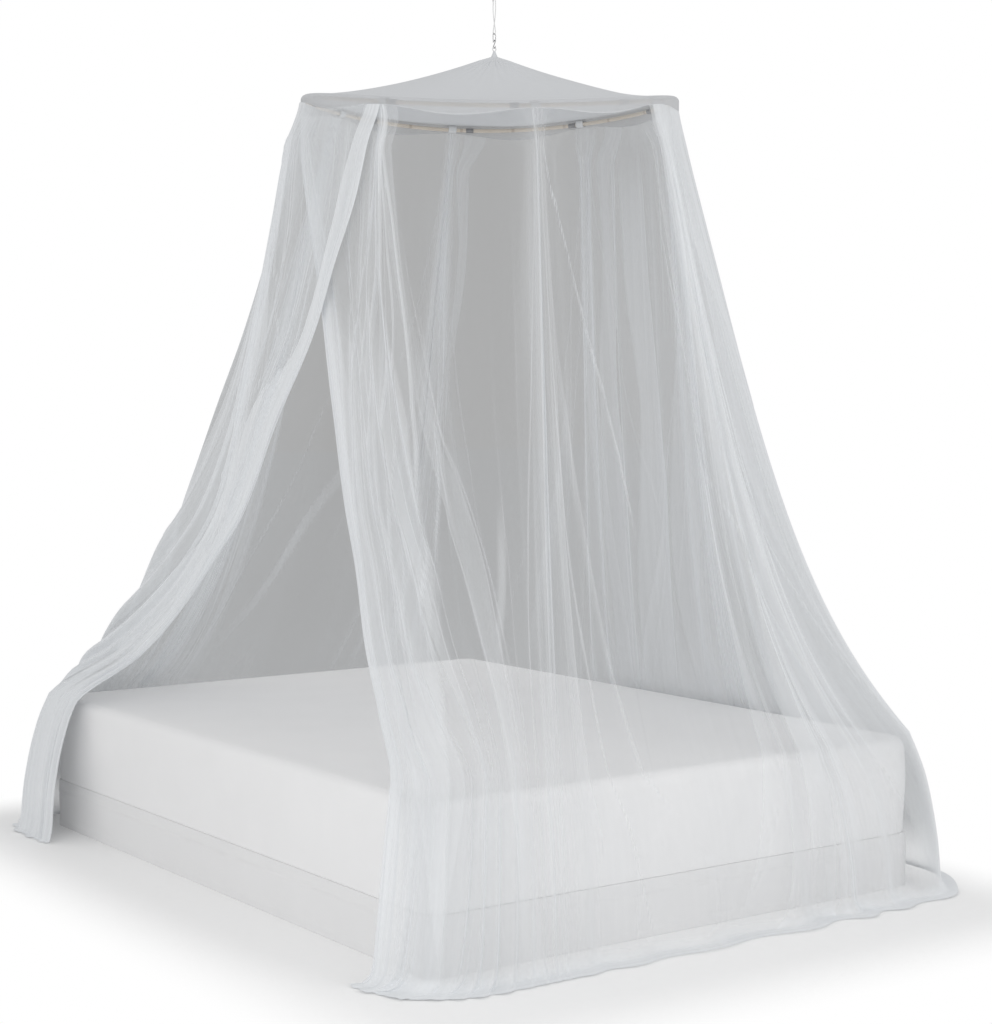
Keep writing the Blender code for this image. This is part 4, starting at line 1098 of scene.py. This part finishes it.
def round_box(half_x, half_y, corner, count):
    """Points evenly round a round-cornered rectangle, of four quarter circles: their x and y,
    the outward way at each, and how far round it is, from 0 to 2 pi."""
    turn = np.radians(np.concatenate([np.linspace(90 * q, 90 * q + 90, 15) for q in range(4)]))
    to_right, to_head = (np.repeat(signs, 15) for signs in ((1, -1, -1, 1), (1, 1, -1, -1)))
    outline_x = (half_x - corner) * to_right + corner * np.cos(turn)
    outline_y = (half_y - corner) * to_head + corner * np.sin(turn)
    outline_x, outline_y = (np.append(line, line[0]) for line in (outline_x, outline_y))
    stops = run_length(np.stack([outline_x, outline_y], axis=1))
    want = np.linspace(0, stops[-1], count, endpoint=False)
    x, y = np.interp(want, stops, outline_x), np.interp(want, stops, outline_y)
    out = np.stack([np.gradient(np.append(y, y[0]))[:-1], -np.gradient(np.append(x, x[0]))[:-1]])
    return x, y, out / np.hypot(*out), 2 * math.pi * want / stops[-1]


def covered_block(name, half_x, half_y, corner, low, high, edge, finish, wrinkle, piping):
    """A block in a tight cover: outlines stacked up its side and round its edges, each pushed
    out by a soft bulge and by the piping, and then drawn in to the middle over the top."""
    turn = np.radians(np.linspace(0, 90, EDGE_ROWS))
    foot = min(edge * 0.5, 0.003)
    side_height = np.linspace(low + foot, high - edge, SIDE_ROWS + 2)[1:-1]
    inset = np.concatenate([foot * (1 - np.sin(turn)), np.zeros(SIDE_ROWS),
                            edge * (1 - np.cos(turn))])[:, None]
    height = np.concatenate([low + foot * (1 - np.cos(turn)), side_height,
                             high - edge * (1 - np.sin(turn))])[:, None]
    x, y, out, way = round_box(half_x, half_y, corner, OUTLINE_POINTS)
    soft = np.sin(23 * way + 1.0) * 0.5 + np.sin(41 * way + 2.2) * 0.3 + np.sin(9 * way) * 0.6
    share = (height - low) / (high - low)
    bulge = wrinkle * np.sin(math.pi * share) * (
        1.0 + 0.45 * soft * np.sin(5.0 * share + 3 * way))
    seam = piping * (np.exp(-((height - (high - PIPING_BELOW_TOP)) / PIPING_WIDTH) ** 2)
                     + np.exp(-((height - (low + PIPING_ABOVE_LOW)) / PIPING_WIDTH) ** 2))
    push = -inset + bulge - wrinkle + seam - piping
    side_x, side_y = x + out[0] * push, y + out[1] * push

    shrink = np.linspace(1, 0.004, TOP_RINGS + 1)[1:, None]
    top_x, top_y = side_x[-1] * shrink, side_y[-1] * shrink
    ripple = TOP_RIPPLE * (np.sin(7.1 * top_x + 3.3 * top_y + 0.6)
                           * np.sin(5.2 * top_y - 2.4 * top_x) - 1.0)
    top_height = high + ripple * soft_rise(1 - shrink, 0.0, 0.12)
    points = np.stack([np.vstack([side_x, top_x]), np.vstack([side_y, top_y]),
                       np.vstack([np.broadcast_to(height, side_x.shape), top_height])], axis=-1)
    return skin(name, points, finish, around=True, ends=True)


sheet_cotton = bed_cotton("sheet_cotton", (0.90, 0.90, 0.905))
# The base's cotton is the sheet's cloth made darker: painted shade.
shaded_base_cotton = bed_cotton("shaded_base_cotton", (0.84, 0.84, 0.845))
mattress = covered_block("mattress_in_sheet", BED_WIDTH / 2, BED_LENGTH / 2, MATTRESS_CORNER,
                         MATTRESS_LOW, MATTRESS_TOP, MATTRESS_EDGE, sheet_cotton,
                         SHEET_FULLNESS, SHEET_PIPING)
fit(mattress, "bed_cloth", "bed_mattress")
base = covered_block("covered_base", BED_WIDTH / 2 - BASE_INSET, BED_LENGTH / 2 - BASE_INSET,
                     BASE_CORNER, 0.0, BASE_HEIGHT, BASE_EDGE, shaded_base_cotton,
                     COVER_FULLNESS, COVER_PIPING)
fit(base, "bed_cloth", "bed_base")

# ------------------------------------------------------------------------------ studio
# A plain white floor, soft light from the doorway's side and from the foot, and a backdrop
# that is white by itself and a quiet grey where it is seen through the net. To camera rays the floor
# is lit paper near the bed and a glowing white sheet further out: a painted shade round the bed.
BACKDROP_GREY = 0.385
HEM_SPREAD = 0.16                       # the net covers this much floor at the bed's ends
SHADE_SHIFT = 0.08                      # and its shade lies this far towards the camera
SKY_LIGHT = 0.70
FLOOR_REACH = 40
# Over the first span the painted shade round the bed fades into the white sheet; over the second the
# grey sets in.
SHADE_TO_WHITE, GREY_FROM = (0.05, 0.40), (0.30, 0.75)      # metres outside the net's hem

floor_mesh = bpy.data.meshes.new("floor")
floor_mesh.from_pydata([(x * FLOOR_REACH, y * FLOOR_REACH, 0)
                        for x, y in ((-1, -1), (1, -1), (1, 1), (-1, 1))], [], [(0, 1, 2, 3)])
floor = bpy.data.objects.new("floor", floor_mesh)
bpy.context.scene.collection.objects.link(floor)
floor_finish = Finish("floor_paper")
paper = floor_finish.noise(floor_finish.place(), 40.0, 3.0)
floor_finish.shade({"Base Color": floor_finish.blend(paper, (0.90, 0.90, 0.90), (0.92, 0.92, 0.92)),
                    "Roughness": 0.9, "Specular IOR Level": 0.1,
                    "Emission Color": (1, 1, 1, 1), "Emission Strength": 0.03})
across_bed = (floor_finish.along(0, "Object") + SHADE_SHIFT).math("ABSOLUTE")
along_bed = (floor_finish.along(1, "Object") + SHADE_SHIFT).math("ABSOLUTE")
far_off = ((across_bed - BED_WIDTH / 2).at_least(0.0) ** 2
           + (along_bed - BED_LENGTH / 2 - HEM_SPREAD).at_least(0.0) ** 2) ** 0.5
seen = floor_finish.node("ShaderNodeLightPath")
through = floor_finish.node("ShaderNodeLightPath", output="Transparent Depth").at_most(1.0)
grey_sheet = floor_finish.node("ShaderNodeEmission", None,
                               {"Color": (BACKDROP_GREY, BACKDROP_GREY * 1.01,
                                          BACKDROP_GREY * 1.02, 1.0)})
white_sheet = floor_finish.node("ShaderNodeEmission", None, {"Color": (1, 1, 1, 1)})
paper_floor = Value(floor_finish, floor_finish.shader.outputs[0])
# Near the bed the lit paper shows and further out the white sheet does: painted shade round the bed.
lit = floor_finish.node("ShaderNodeMixShader", None,
                        {0: seen * far_off.rise(*SHADE_TO_WHITE), 1: paper_floor, 2: white_sheet})
mixed = floor_finish.node("ShaderNodeMixShader", None,
                          {0: seen * through * far_off.rise(*GREY_FROM), 1: lit, 2: grey_sheet})
floor_finish.tree.links.new(mixed.socket,
                            floor_finish.tree.nodes["Material Output"].inputs["Surface"])
floor_mesh.materials.append(floor_finish.material)


def soft_light(name, place, aim, size, watts):
    """A square light at place that faces aim."""
    data = bpy.data.lights.new(name, "AREA")
    data.size, data.energy = size, watts
    light = bpy.data.objects.new(name, data)
    light.location = place
    away = np.array(place, float) - np.array(aim, float)
    flat = math.hypot(away[0], away[1])
    light.rotation_euler = (math.atan2(flat, away[2]), 0.0,
                            math.atan2(away[1], away[0]) + math.pi / 2)
    bpy.context.scene.collection.objects.link(light)


soft_light("key", (-4.6, -3.4, 2.3), (0.0, 0.0, 0.8), 2.6, 66)
soft_light("fill", (1.5, -5.5, 2.0), (0.0, 0.0, 0.8), 2.6, 45)

world = bpy.data.worlds.new("studio")
bpy.context.scene.world = world
world.use_nodes = True
studio = Finish("studio", world.node_tree)
direct = studio.node("ShaderNodeLightPath")
behind_net = studio.node("ShaderNodeLightPath", output="Transparent Depth").at_most(1.0)
strength = direct * (1 - behind_net * (1 - BACKDROP_GREY)) + (1 - direct) * SKY_LIGHT
sky = studio.node("ShaderNodeBackground", None, {"Color": (1, 1, 1, 1), "Strength": strength})
studio.tree.links.new(sky.socket, studio.tree.nodes["World Output"].inputs["Surface"])

scene = bpy.context.scene
scene.view_settings.view_transform = "Standard"
scene.cycles.transparent_max_bounces = 48
